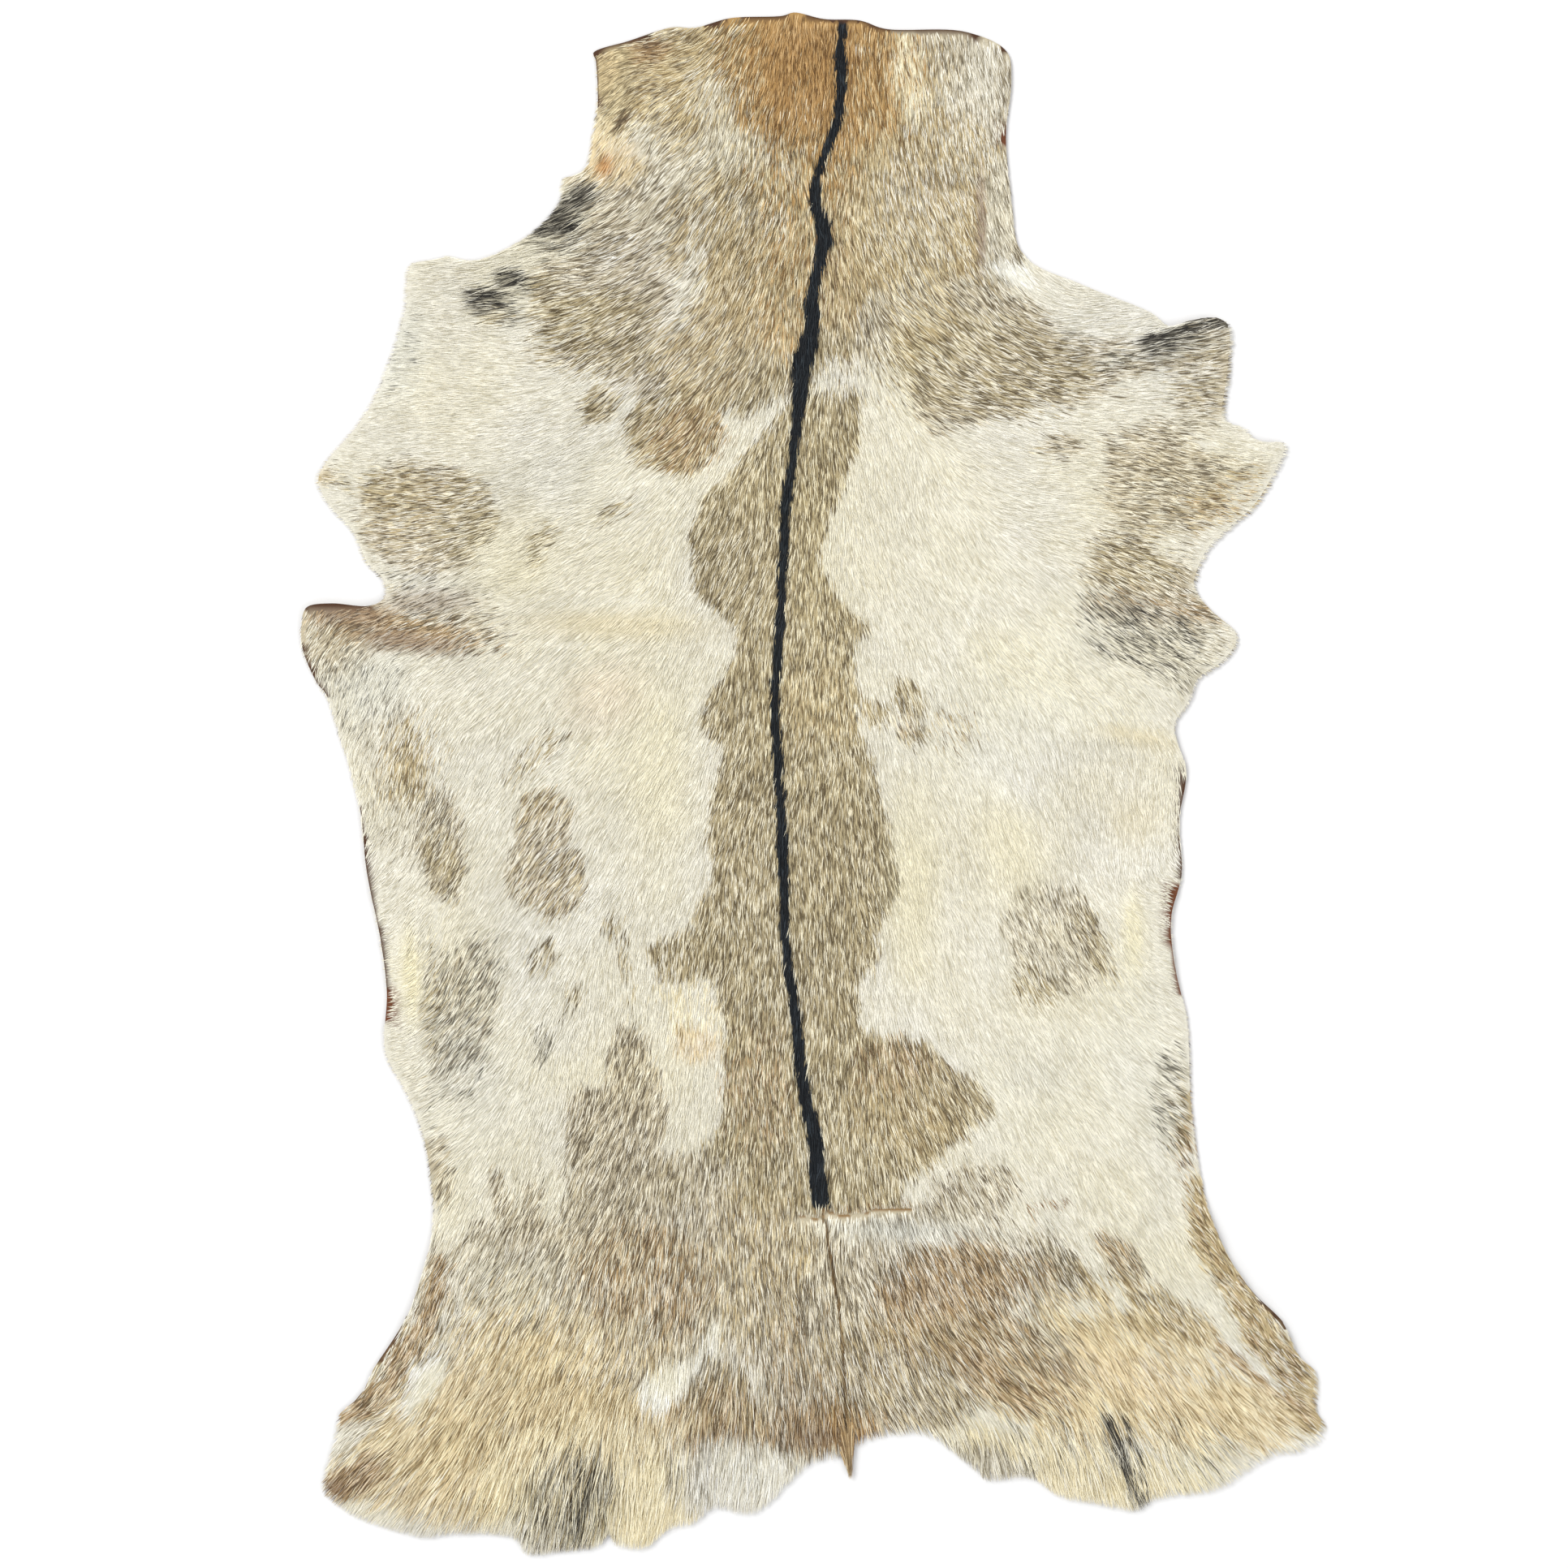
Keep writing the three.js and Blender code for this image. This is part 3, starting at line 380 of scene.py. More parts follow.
# Long markings over the patches: tone, width, softness, share, path.
STREAKS = [
    ("cream", 11, 4, 0.95, [(-56, 190), (-40, 214), (-22, 236)]),
    ("charcoal", 9, 4, 0.9, [(204, 271), (228, 278), (252, 283)]),
    ("charcoal", 4, 3, 0.7, [(208, 264), (226, 270), (240, 274)]),
    ("charcoal", 14, 4, 0.95, [(-166, 346), (-154, 354), (-140, 362)]),
    ("charcoal", 8, 4, 0.85, [(-178, 338), (-166, 341), (-150, 344)]),
    ("charcoal", 5, 4, 0.5, [(-172, 330), (-160, 330)]),
    ("olive", 5, 5, 0.35, [(-178, 8), (-166, 20), (-150, 28)]),
    # The next two brown streaks lie along the left foreleg fold: brown hair there, and painted shade of
    # the fold.
    ("brown", 7, 6, 0.55, [(-310, 107), (-286, 104), (-268, 98)]),
    ("brown", 9, 9, 0.4, [(-284, 98), (-256, 90), (-232, 87)]),
    ("olive", 3, 2, 0.8, [(-308, 190), (-298, 186), (-288, 181)]),
    ("cream", 12, 6, 0.85, [(170, 222), (190, 231), (208, 243), (218, 249)]),
    ("slate", 6, 5, 0.55, [(168, 91), (192, 79), (214, 66), (228, 57)]),
    ("charcoal", 3, 3, 0.4, [(172, 89), (192, 79), (210, 69)]),
    ("cream", 10, 3.5, 0.95, [(-60, -338), (-60, -350)]),
    ("cream", 8, 3, 0.9, [(-61, -346), (-76, -358), (-84, -364)]),
    ("cream", 20, 3, 1, [(-87, -366), (-96, -376)]),
    ("white", 18, 4, 0.85, [(-87, -367), (-96, -377)]),
    ("white", 7, 4, 0.6, [(-60, -339), (-62, -349), (-76, -358)]),
    ("cream", 7, 4, 0.65, [(-58, -346), (-42, -360), (-32, -376)]),
    ("brown", 14, 6, 0.75, [(-228, -296), (-240, -336), (-262, -368), (-288, -392)]),
    ("cream", 9, 6, 0.6, [(-2, -273), (40, -276), (88, -279), (116, -273), (140, -267)]),
    ("cream", 10, 4, 0.95, [(146, -266), (160, -280), (172, -298), (182, -314), (188, -322)]),
    ("cream", 18, 3, 1, [(212, -258), (226, -292), (239, -316), (260, -339), (286, -360)]),
    ("cream", 10, 3, 0.95, [(276, -352), (294, -368)]),
    ("fawn", 22, 5, 0.85, [(239, -256), (249, -292), (269, -328), (294, -360), (310, -388)]),
    ("brown", 16, 8, 0.35, [(240, -262), (250, -294), (270, -330), (296, -362)]),
    ("pale", 4, 4, 0.5, [(246, -300), (268, -334), (290, -356)]),
    ("brown", 5, 3, 0.8, [(252, -350), (276, -368), (308, -388)]),
    ("charcoal", 6, 3, 0.85, [(180, -392), (188, -408), (194, -424), (199, -448)]),
    ("charcoal", 3, 3, 0.7, [(194, -396), (201, -412), (204, -432), (202, -448)]),
    ("charcoal", 2.5, 3, 0.4, [(226, -394), (238, -412), (246, -426)]),
    ("slate", 3, 3, 0.6, [(172, -392), (180, -404), (186, -420)]),
    ("slate", 3, 3, 0.5, [(218, -392), (228, -406), (238, -424)]),
    ("slate", 3, 3, 0.4, [(238, -388), (250, -404), (262, -418)]),
    ("slate", 3, 3, 0.4, [(150, -392), (158, -406), (164, -424)]),
    ("charcoal", 4, 4, 0.4, [(-153, -418), (-149, -436), (-150, -458)]),
    ("charcoal", 4, 4, 0.4, [(-139, -424), (-140, -440), (-146, -466)]),
    ("slate", 5, 4, 0.7, [(-166, -428), (-174, -446), (-179, -466)]),
    ("umber", 4, 2, 0.95, [(-116, 411), (-121, 401)]),
]

# Soft stains over the patches, and painted shade along some folds and creases: colour, x, y, half width,
# half height, turn, strength.
STAINS = [
    ("gold", -6, 436, 50, 50, 0, 0.28), ("sand_and_fold_shade", -124, 428, 16, 44, 0, 0.5),
    ("umber", -102, 453, 9, 7, 0, 0.4), ("honey", -128, 440, 12, 24, 0, 0.25),
    ("orange", -129, 379, 7, 9, 0, 0.7), ("honey", -122, 384, 22, 18, 0, 0.3),
    # The last stain on the next line is painted shade of the soft fold across the left shoulder.
    ("peach", -129, 53, 36, 28, 20, 0.2), ("sand_and_fold_shade", -120, 97, 76, 12, -2, 0.5),
    # The next two lines darken the left foreleg and shoulder folds and the right foreleg crease: painted
    # shade of the folds, over the brown of the hair there.
    ("fold_shade_and_clay", -252, 88, 46, 9, -8, 0.6), ("fold_shade_and_clay", -286, 103, 34, 9, 0, 0.6),
    ("fold_shade_and_clay", -240, 112, 44, 10, 2, 0.35), ("fold_shade_and_clay", 212, 106, 44, 10, -8, 0.15),
    ("butter", -239, -371, 11, 24, -32, 0.4), ("butter", -91, -370, 16, 16, 0, 0.3),
    # The first stain on the next line is painted shade of a soft wave in the right flank.
    ("sand_and_fold_shade", 200, 28, 34, 7, -10, 0.55), ("sand_and_fold_shade", 196, -22, 22, 22, 0, 0.25),
    ("peach", -72, -162, 20, 13, 0, 0.25), ("umber", 4, -403, 36, 9, 0, 0.35),
    ("peach", 190, -364, 70, 22, -20, 0.2),
    # The first stain on the next line is painted shade along the right neck crease.
    ("fold_shade_and_clay", 103, 345, 4, 46, 0, 0.8), ("umber", -296, -434, 13, 8, -35, 0.6),
    ("mist", -272, 60, 34, 34, 0, 0.35), ("mist", -255, 265, 22, 44, -14, 0.4),
    ("butter", 60, -60, 24, 80, 0, 0.35), ("butter", -96, 10, 30, 110, 0, 0.25),
    ("butter", -248, -118, 8, 40, 2, 0.7), ("butter", 197, -92, 9, 34, 0, 0.6),
    ("mist", 110, 30, 70, 60, 0, 0.15), ("mist", -210, -190, 40, 60, 0, 0.12),
    ("mist", 130, -190, 60, 50, 0, 0.12), ("butter", 120, -40, 26, 50, 20, 0.3),
    ("butter", -190, 140, 50, 40, 0, 0.25), ("mist", -160, 190, 60, 26, 0, 0.12),
    ("mist", 200, -150, 40, 90, 0, 0.15), ("mist", 170, 60, 60, 60, 0, 0.12),
    ("honey", -302, 190, 8, 8, 0, 0.2), ("mist", 60, -276, 70, 8, -2, 0.5),
]

# Colours as they look, 0 to 255. A tone has its middle colour, its dark and its light hairs,
# and the shares of dark and light ones.
TONES = {
    "cream": ((221, 217, 201), (193, 186, 163), (237, 233, 219), 0.19, 0.31),
    "white": ((237, 235, 224), (208, 204, 190), (249, 248, 242), 0.14, 0.34),
    "butter": ((235, 225, 193), (190, 176, 138), (249, 243, 219), 0.23, 0.29),
    "pale": ((207, 200, 179), (116, 105, 80), (245, 241, 226), 0.27, 0.32),
    "agouti": ((192, 181, 155), (79, 66, 45), (245, 240, 223), 0.33, 0.33),
    "olive": ((180, 166, 131), (75, 60, 35), (243, 236, 211), 0.34, 0.29),
    "fawn": ((189, 171, 131), (103, 82, 50), (236, 225, 192), 0.30, 0.28),
    "slate": ((190, 184, 164), (60, 55, 44), (240, 236, 219), 0.36, 0.30),
    "brown": ((178, 153, 114), (74, 53, 31), (235, 220, 190), 0.32, 0.28),
    "gold": ((174, 140, 89), (92, 62, 28), (220, 190, 139), 0.31, 0.26),
    "golden": ((221, 205, 168), (142, 120, 80), (246, 238, 208), 0.25, 0.31),
    "charcoal": ((100, 95, 84), (31, 29, 27), (188, 182, 164), 0.52, 0.22),
    "black": ((20, 26, 31), (8, 11, 14), (48, 56, 62), 0.30, 0.14),
    "umber": ((98, 74, 48), (60, 42, 28), (140, 110, 76), 0.40, 0.20),
    "parting": ((116, 94, 62), (62, 48, 31), (158, 136, 98), 0.44, 0.18),
    "slit": ((142, 111, 70), (98, 72, 42), (182, 152, 108), 0.36, 0.22),
    "tail": ((178, 152, 110), (100, 78, 48), (222, 203, 163), 0.34, 0.26),
}
# Stain colours, 0 to 255. Two of them also serve as painted shade along folds and creases.
STAIN_COLOURS = {
    "gold": (166, 124, 74), "honey": (214, 184, 130), "orange": (192, 126, 48), "umber": (98, 66, 44),
    "butter": (228, 220, 184), "peach": (228, 204, 170), "sand_and_fold_shade": (206, 194, 158), "fold_shade_and_clay": (150, 128, 108),
    "mist": (218, 219, 211),
}
EDGE_COLOURS = {"edge": (72, 50, 36), "flesh": (96, 58, 38)}
CUT_EDGE_COLOURS = ((64, 44, 32), (122, 88, 62))
SUEDE = (216, 203, 182)

# The studio, in metres: the lamps as name, place, size and watts, the light from all around, the
# floor, and the camera's frame on the floor with its lens and sensor in millimetres.
LIGHTS = [
    ("key light", (-3.2, 2.8, 4.4), 3.2, 312),
    ("fill light", (3.6, -2.0, 4.8), 4.4, 104),
]
WORLD_LIGHT = 0.82
FLOOR_SIZE, FLOOR_GAP = 60, 0.0006
FLOOR_COLOUR = (0.7, 0.7, 0.7, 1)
FRAME_WIDTH, FRAME_MIDDLE = 0.966, (-0.0185, 0.0)
LENS, SENSOR = 85, 36

rng = np.random.default_rng(7)
TONE_NUMBER = {name: number for number, name in enumerate(TONES)}


def linear(colour):
    """Colour values of 0 to 255, as seen, to linear light."""
    c = np.asarray(colour, float) / 255
    return np.where(c <= 0.04045, c / 12.92, ((c + 0.055) / 1.055) ** 2.4)


def unit(degrees):
    turn = np.radians(degrees)
    return np.stack([np.cos(turn), np.sin(turn)], -1)


def turned(way, degrees):
    turn = np.radians(degrees)
    x, y = way[:, 0], way[:, 1]
    return np.stack([x * np.cos(turn) - y * np.sin(turn), x * np.sin(turn) + y * np.cos(turn)], -1)


def hashed(i, j, seed):
    """A steady random number from 0 to 1 for each pair of whole numbers."""
    h = np.sin(i * 127.1 + j * 311.7 + seed * 74.7) * 43758.5453
    return h - np.floor(h)


def noise(p, cell, seed):
    """Smooth noise from -1 to 1 over points p, with lumps about as wide as cell."""
    at = p / cell + seed * 17.3
    low = np.floor(at)
    f = at - low
    f = f * f * (3 - 2 * f)
    i, j = low[:, 0], low[:, 1]
    near = hashed(i, j, seed) * (1 - f[:, 0]) + hashed(i + 1, j, seed) * f[:, 0]
    far = hashed(i, j + 1, seed) * (1 - f[:, 0]) + hashed(i + 1, j + 1, seed) * f[:, 0]
    return 2 * (near * (1 - f[:, 1]) + far * f[:, 1]) - 1


def closed_spline(points, per_span):
    """Centripetal Catmull-Rom through a closed ring of points, per_span[i] samples after point i."""
    n = len(points)
    out = []
    for i in range(n):
        p = [points[(i + k - 1) % n] for k in range(4)]
        d = [max(np.linalg.norm(p[k + 1] - p[k]) ** 0.5, 1e-4) for k in range(3)]
        start = (p[1] - p[0]) / d[0] - (p[2] - p[0]) / (d[0] + d[1]) + (p[2] - p[1]) / d[1]
        end = (p[2] - p[1]) / d[1] - (p[3] - p[1]) / (d[1] + d[2]) + (p[3] - p[2]) / d[2]
        start, end = start * d[1], end * d[1]
        for k in range(per_span[i]):
            t = k / per_span[i]
            out.append(
                p[1] * (2 * t**3 - 3 * t**2 + 1) + start * (t**3 - 2 * t**2 + t)
                + p[2] * (3 * t**2 - 2 * t**3) + end * (t**3 - t**2)
            )
    return np.array(out)


def coat_and_skin_edges():
    """The coat's edge, and the skin's own edge inside it by the hair's reach, as closed rings."""
    corners, reach, flow = [], [], []
    for i, (_, here_reach, here_flow, points) in enumerate(EDGE):
        _, next_reach, next_flow, _ = EDGE[(i + 1) % len(EDGE)]
        for k, point in enumerate(points):
            along = k / len(points)
            corners.append(np.array(point, float))
            reach.append(here_reach + (next_reach - here_reach) * along)
            flow.append(here_flow + (next_flow - here_flow) * along)
    n = len(corners)
    runs = [corners[(i + 1) % n] - corners[i] for i in range(n)]
    spans = [max(1, round(np.linalg.norm(run) / RIM_STEP)) for run in runs]
    coat = closed_spline(corners, spans)
    skin = coat.copy()
    at = 0
    for i, run in enumerate(runs):
        outward = np.array([-run[1], run[0]]) / np.linalg.norm(run)
        onward = min(i + 1, n - 1)
        for k in range(spans[i]):
            along = k / spans[i]
            heading = unit(flow[i] + (flow[onward] - flow[i]) * along)
            over = np.clip(heading @ outward / FULL_REACH, 0, 1)
            skin[at] -= heading * over * (reach[i] + (reach[(i + 1) % n] - reach[i]) * along)
            at += 1
    return coat, skin


def inside(p, ring):
    crossings = np.zeros(len(p), bool)
    for (ax, ay), (bx, by) in zip(ring, np.roll(ring, -1, axis=0)):
        if ay == by:
            continue
        spans = (ay > p[:, 1]) != (by > p[:, 1])
        crossings ^= spans & (p[:, 0] < ax + (p[:, 1] - ay) * (bx - ax) / (by - ay))
    return crossings


def path_distance(p, path):
    """Distance of points p to an open path."""
    nearest = np.full(len(p), 1e9)
    for a, b in zip(path[:-1], path[1:]):
        a, b = np.array(a, float), np.array(b, float)
        t = np.clip(((p - a) @ (b - a)) / max((b - a) @ (b - a), 1e-9), 0, 1)
        nearest = np.minimum(nearest, np.linalg.norm(p - a - t[:, None] * (b - a), axis=1))
    return nearest


class Underside:
    """Height of the solid's underside over the floor, with the folds, on a grid that is read smoothly."""

    def __init__(self, node):
        low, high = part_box(node.name)
        tree = BVHTree.FromPolygons(
            [v.co.copy() for v in node.data.vertices], [tuple(p.vertices) for p in node.data.polygons])
        self.start = np.array([low.x, low.y]) / MM - 2 * HEIGHT_GRID
        counts = (np.array([high.x, high.y]) / MM + 2 * HEIGHT_GRID - self.start) // HEIGHT_GRID + 2
        heights = np.full(counts.astype(int), np.nan)
        up = Vector((0, 0, 1))
        for i in range(heights.shape[0]):
            for j in range(heights.shape[1]):
                x, y = self.start + HEIGHT_GRID * np.array([i, j])
                hit = tree.ray_cast(Vector((x * MM, y * MM, -0.01)), up)[0]
                if hit is not None:
                    heights[i, j] = hit.z / MM
        for _ in range(4):
            padded = np.pad(heights, 1, constant_values=np.nan)
            beside = np.stack([padded[:-2, 1:-1], padded[2:, 1:-1], padded[1:-1, :-2], padded[1:-1, 2:]])
            known = ~np.isnan(beside)
            mean = np.where(known, beside, 0).sum(0) / np.maximum(known.sum(0), 1)
            heights = np.where(np.isnan(heights) & known.any(0), mean, heights)
        self.heights = np.maximum(np.nan_to_num(heights), 0)

    def at(self, p):
        g = (p - self.start) / HEIGHT_GRID
        g = np.clip(g, 0, np.array(self.heights.shape) - 1.001)
        i, f = g.astype(int), g % 1
        h = self.heights
        near = h[i[:, 0], i[:, 1]] * (1 - f[:, 0]) + h[i[:, 0] + 1, i[:, 1]] * f[:, 0]
        far = h[i[:, 0], i[:, 1] + 1] * (1 - f[:, 0]) + h[i[:, 0] + 1, i[:, 1] + 1] * f[:, 0]
        return near * (1 - f[:, 1]) + far * f[:, 1]


def crease_depth(p):
    """How far the creases press the coat down at points p."""
    depth = np.zeros(len(p))
    for _, deep, wide, path in CREASES:
        depth = np.maximum(depth, deep * np.exp(-((path_distance(p, path) / wide) ** 2)))
    return depth


def flow_at(p):
    """Heading vectors and lengths of the hair at points p, blended from the table."""
    way = np.zeros((len(p), 2))
    length = np.zeros(len(p))
    total = np.zeros(len(p))
    for x, y, heading, long in FLOW:
        weight = ((p[:, 0] - x) ** 2 + (p[:, 1] - y) ** 2 + FLOW_REACH**2) ** -FLOW_FADE
        way += weight[:, None] * unit(heading)
        length += weight * long
        total += weight
    return way / np.linalg.norm(way, axis=1)[:, None], length / total


def band_depth(p, rows):
    """How far, in millimetres, points p lie inside a band given as y, left, right."""
    rows = sorted(rows)
    ys = [row[0] for row in rows]
    left = np.interp(p[:, 1], ys, [row[1] for row in rows])
    right = np.interp(p[:, 1], ys, [row[2] for row in rows])
    ends = np.minimum(p[:, 1] - ys[0], ys[-1] - p[:, 1])
    return np.minimum(np.minimum(p[:, 0] - left, right - p[:, 0]), ends)


def as_band(rows):
    return [(y, middle - width / 2, middle + width / 2) for y, middle, width in rows]


def ellipse_reach(p, x, y, half_x, half_y, turn):
    """Distance of points p from an ellipse's middle, as a share of its radius there."""
    offset = p - np.array([x, y])
    return np.hypot(offset @ unit(turn) / half_x, offset @ unit(turn + 90) / half_y)


def strayed(p, seed_column):
    """How far the markings' borders stray at points p, in X or in Y."""
    return sum(far * noise(p, row[0], row[seed_column]) for far, *row in BORDER_STRAY)


def tones_at(p, chance):
    """The tone of the coat at points p. chance is a number from 0 to 1 for each hair, and the pick
    step makes each marking take other hairs than the last one."""
    q = p + np.stack([strayed(p, 1), strayed(p, 2)], -1)
    tone = np.full(len(p), TONE_NUMBER["cream"])
    tone[band_depth(q, BACK_BAND) > (chance - 0.5) * 4] = TONE_NUMBER["olive"]
    for k, (name, x, y, half_x, half_y, turn, soft, share) in enumerate(PATCHES):
        depth = (1 - ellipse_reach(q, x, y, half_x, half_y, turn)) * min(half_x, half_y)
        cover = np.clip(0.5 + depth / soft, 0, 1) * share * (1 + 0.35 * noise(p, 7, 30 + k))
        tone[(chance + PICK_STEP * k) % 1 < cover] = TONE_NUMBER[name]
    for k, (name, wide, soft, share, path) in enumerate(STREAKS):
        cover = np.clip(0.5 + (wide / 2 - path_distance(q, path)) / soft, 0, 1) * share
        tone[(chance + PICK_STEP * k) % 1 < cover] = TONE_NUMBER[name]
    on_back = p + np.stack([noise(p, 5, 6) * 0.6, np.zeros(len(p))], -1)
    tone[band_depth(on_back, as_band(STRIPE)) > (chance - 0.9) * 2.2] = TONE_NUMBER["black"]
    tone[band_depth(on_back, as_band(PARTING)) > 0] = TONE_NUMBER["parting"]
    tone[path_distance(p, SLIT) < 0.4 + 0.7 * chance] = TONE_NUMBER["slit"]
    tone[path_distance(p, SLIT_END) < 2.2 * chance] = TONE_NUMBER["slit"]
    return tone


def stained(colours, p, tone):
    """The colours with the soft stains, and the painted shade along some folds and creases, over them.
    Black and charcoal hair take none.
    """
    takes = (tone != TONE_NUMBER["black"]) & (tone != TONE_NUMBER["charcoal"])
    for name, x, y, half_x, half_y, turn, strength in STAINS:
        reach = ellipse_reach(p, x, y, half_x, half_y, turn)
        cover = (takes * strength * np.clip(1.5 - 1.5 * reach, 0, 1))[:, None]
        target = linear(STAIN_COLOURS[name])
        shade = np.clip(colours.mean(1, keepdims=True) / target.mean(), 0.4, 1.08)
        colours = colours * (1 - cover) + target * shade * cover
    return colours


def set_inputs(node, **values):
    """Sets a node's inputs. An underscore in a name stands for a space."""
    for name, value in values.items():
        node.inputs[name.replace("_", " ")].default_value = value


def grained_material(name, scale, detail, roughness, bump, bump_depth):
    """A material with grain: noise on the piece's own coordinates, which also raises the surface."""
    material = bpy.data.materials.new(name)
    material.use_nodes = True
    nodes, links = material.node_tree.nodes, material.node_tree.links
    surface = nodes["Principled BSDF"]
    places = nodes.new("ShaderNodeTexCoord")
    grain = nodes.new("ShaderNodeTexNoise")
    set_inputs(grain, Scale=scale, Detail=detail, Roughness=roughness)
    links.new(places.outputs["Object"], grain.inputs["Vector"])
    relief = nodes.new("ShaderNodeBump")
    set_inputs(relief, Strength=bump, Distance=bump_depth)
    links.new(grain.outputs["Fac"], relief.inputs["Height"])
    links.new(relief.outputs["Normal"], surface.inputs["Normal"])
    return material, nodes, links, surface, grain.outputs["Fac"]


def tinted_material(name, grain_size, roughness, bump, specular):
    """A surface coloured by the piece's tint, with fine grain in its colour, roughness and bump.
    The grain's size is in millimetres, and roughness is its lowest and highest value."""
    material, nodes, links, surface, grain = grained_material(
        name, 1 / (grain_size * MM), 3, 0.6, bump, 0.3 * grain_size * MM)
    tint = nodes.new("ShaderNodeAttribute")
    tint.attribute_name = "tint"
    shade = nodes.new("ShaderNodeMapRange")
    set_inputs(shade, From_Min=0.3, From_Max=0.7, To_Min=0.86, To_Max=1.08)
    links.new(grain, shade.inputs["Value"])
    colour = nodes.new("ShaderNodeVectorMath")
    colour.operation = "SCALE"
    links.new(tint.outputs["Color"], colour.inputs[0])
    links.new(shade.outputs["Result"], colour.inputs["Scale"])
    links.new(colour.outputs["Vector"], surface.inputs["Base Color"])
    rough = nodes.new("ShaderNodeMapRange")
    set_inputs(rough, To_Min=roughness[0], To_Max=roughness[1])
    links.new(grain, rough.inputs["Value"])
    links.new(rough.outputs["Result"], surface.inputs["Roughness"])
    set_inputs(surface, Specular_IOR_Level=specular)
    return material


def cut_edge_material():
    """The knife-cut leather edge, brown with darker and paler runs."""
    material, nodes, links, surface, runs = grained_material("cut leather edge", 90, 4, 0.5, 0.4, 0.0003)
    ramp = nodes.new("ShaderNodeValToRGB")
    for stop, place, colour in zip(ramp.color_ramp.elements, (0.36, 0.66), CUT_EDGE_COLOURS):
        stop.position = place
        stop.color = (*linear(colour), 1)
    links.new(runs, ramp.inputs["Fac"])
    links.new(ramp.outputs["Color"], surface.inputs["Base Color"])
    set_inputs(surface, Roughness=0.75)
    return material


def places_of(mesh):
    co = np.empty(3 * len(mesh.vertices), np.float32)
    mesh.vertices.foreach_get("co", co)
    return co.reshape(-1, 3).astype(float) / MM


def paint(mesh, colours):
    tint = mesh.color_attributes.new("tint", "FLOAT_COLOR", "POINT")
    tint.data.foreach_set("color", np.c_[colours, np.ones(len(colours))].astype(np.float32).ravel())


def lay_map(mesh, places):
    """Sets the map that the piece's colours are kept on, a place for each face corner."""
    layer = mesh.uv_layers.new(name="OFBake")
    layer.data.foreach_set("uv", places.astype(np.float32).ravel())


def finish_piece(piece):
    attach(piece, "root")


def select_only(piece):
    bpy.ops.object.select_all(action="DESELECT")
    piece.select_set(True)
    bpy.context.view_layer.objects.active = piece


def cut_sheet(ring):
    """A level sheet as thick as the skin, cut to the ring and finer along the stripe and the slit."""
    low, high = ring.min(0) - SHEET_MARGIN, ring.max(0) + SHEET_MARGIN
    cells = np.ceil((high - low) / SUEDE_GRID).astype(int)
    bpy.ops.object.select_all(action="DESELECT")
    bpy.ops.mesh.primitive_grid_add(x_subdivisions=int(cells[0]), y_subdivisions=int(cells[1]), size=1)
    sheet = bpy.context.object
    sheet.location = (*(low + high) / 2 * MM, 0)
    sheet.scale = (*(high - low) * MM, 1)
    bpy.ops.object.transform_apply(location=True, rotation=True, scale=True)
    thick = sheet.modifiers.new("thickness", "SOLIDIFY")
    thick.thickness = SKIN * MM
    thick.offset = 1
    bpy.ops.object.modifier_apply(modifier=thick.name)

    bpy.ops.object.select_all(action="DESELECT")
    bpy.ops.mesh.primitive_circle_add(vertices=len(ring), fill_type="NGON", radius=1)
    cutter = bpy.context.object
    for vertex, (x, y) in zip(cutter.data.vertices, ring):
        vertex.co = (x * MM, y * MM, CUTTER_BOTTOM)
    bpy.ops.object.mode_set(mode="EDIT")
    bpy.ops.mesh.select_all(action="SELECT")
    bpy.ops.mesh.extrude_region_move(TRANSFORM_OT_translate={"value": (0, 0, CUTTER_HEIGHT)})
    bpy.ops.mesh.select_all(action="SELECT")
    bpy.ops.mesh.normals_make_consistent(inside=False)
    bpy.ops.object.mode_set(mode="OBJECT")

    select_only(sheet)
    cut = sheet.modifiers.new("outline", "BOOLEAN")
    cut.operation = "INTERSECT"
    cut.solver = "EXACT"
    cut.object = cutter
    bpy.ops.object.modifier_apply(modifier=cut.name)
    bpy.data.objects.remove(cutter)

    mesh = sheet.data
    middles = np.array([p.center[:2] for p in mesh.polygons]) / MM
    upward = np.array([p.normal.z for p in mesh.polygons]) > 0.9
    spine = [(middle, y) for y, middle, _ in STRIPE + PARTING]
    near_slit = path_distance(middles, SLIT) < FINE_BY_SLIT
    near_spine = path_distance(middles, spine) < FINE_BY_STRIPE
    mesh.polygons.foreach_set("select", upward & (near_slit | near_spine))
    mesh.edges.foreach_set("select", np.zeros(len(mesh.edges), bool))
    mesh.vertices.foreach_set("select", np.zeros(len(mesh.vertices), bool))
    for polygon in mesh.polygons:
        if polygon.select:
            for vertex in polygon.vertices:
                mesh.vertices[vertex].select = True
            for key in polygon.loop_indices:
                mesh.edges[mesh.loops[key].edge_index].select = True
    bpy.ops.object.mode_set(mode="EDIT")
    bpy.ops.mesh.select_mode(type="FACE")
    bpy.ops.mesh.subdivide(number_cuts=3)
    bpy.ops.mesh.select_all(action="SELECT")
    bpy.ops.mesh.quads_convert_to_tris(quad_method="BEAUTY", ngon_method="BEAUTY")
    bpy.ops.mesh.normals_make_consistent(inside=False)
    bpy.ops.object.mode_set(mode="OBJECT")
    return sheet


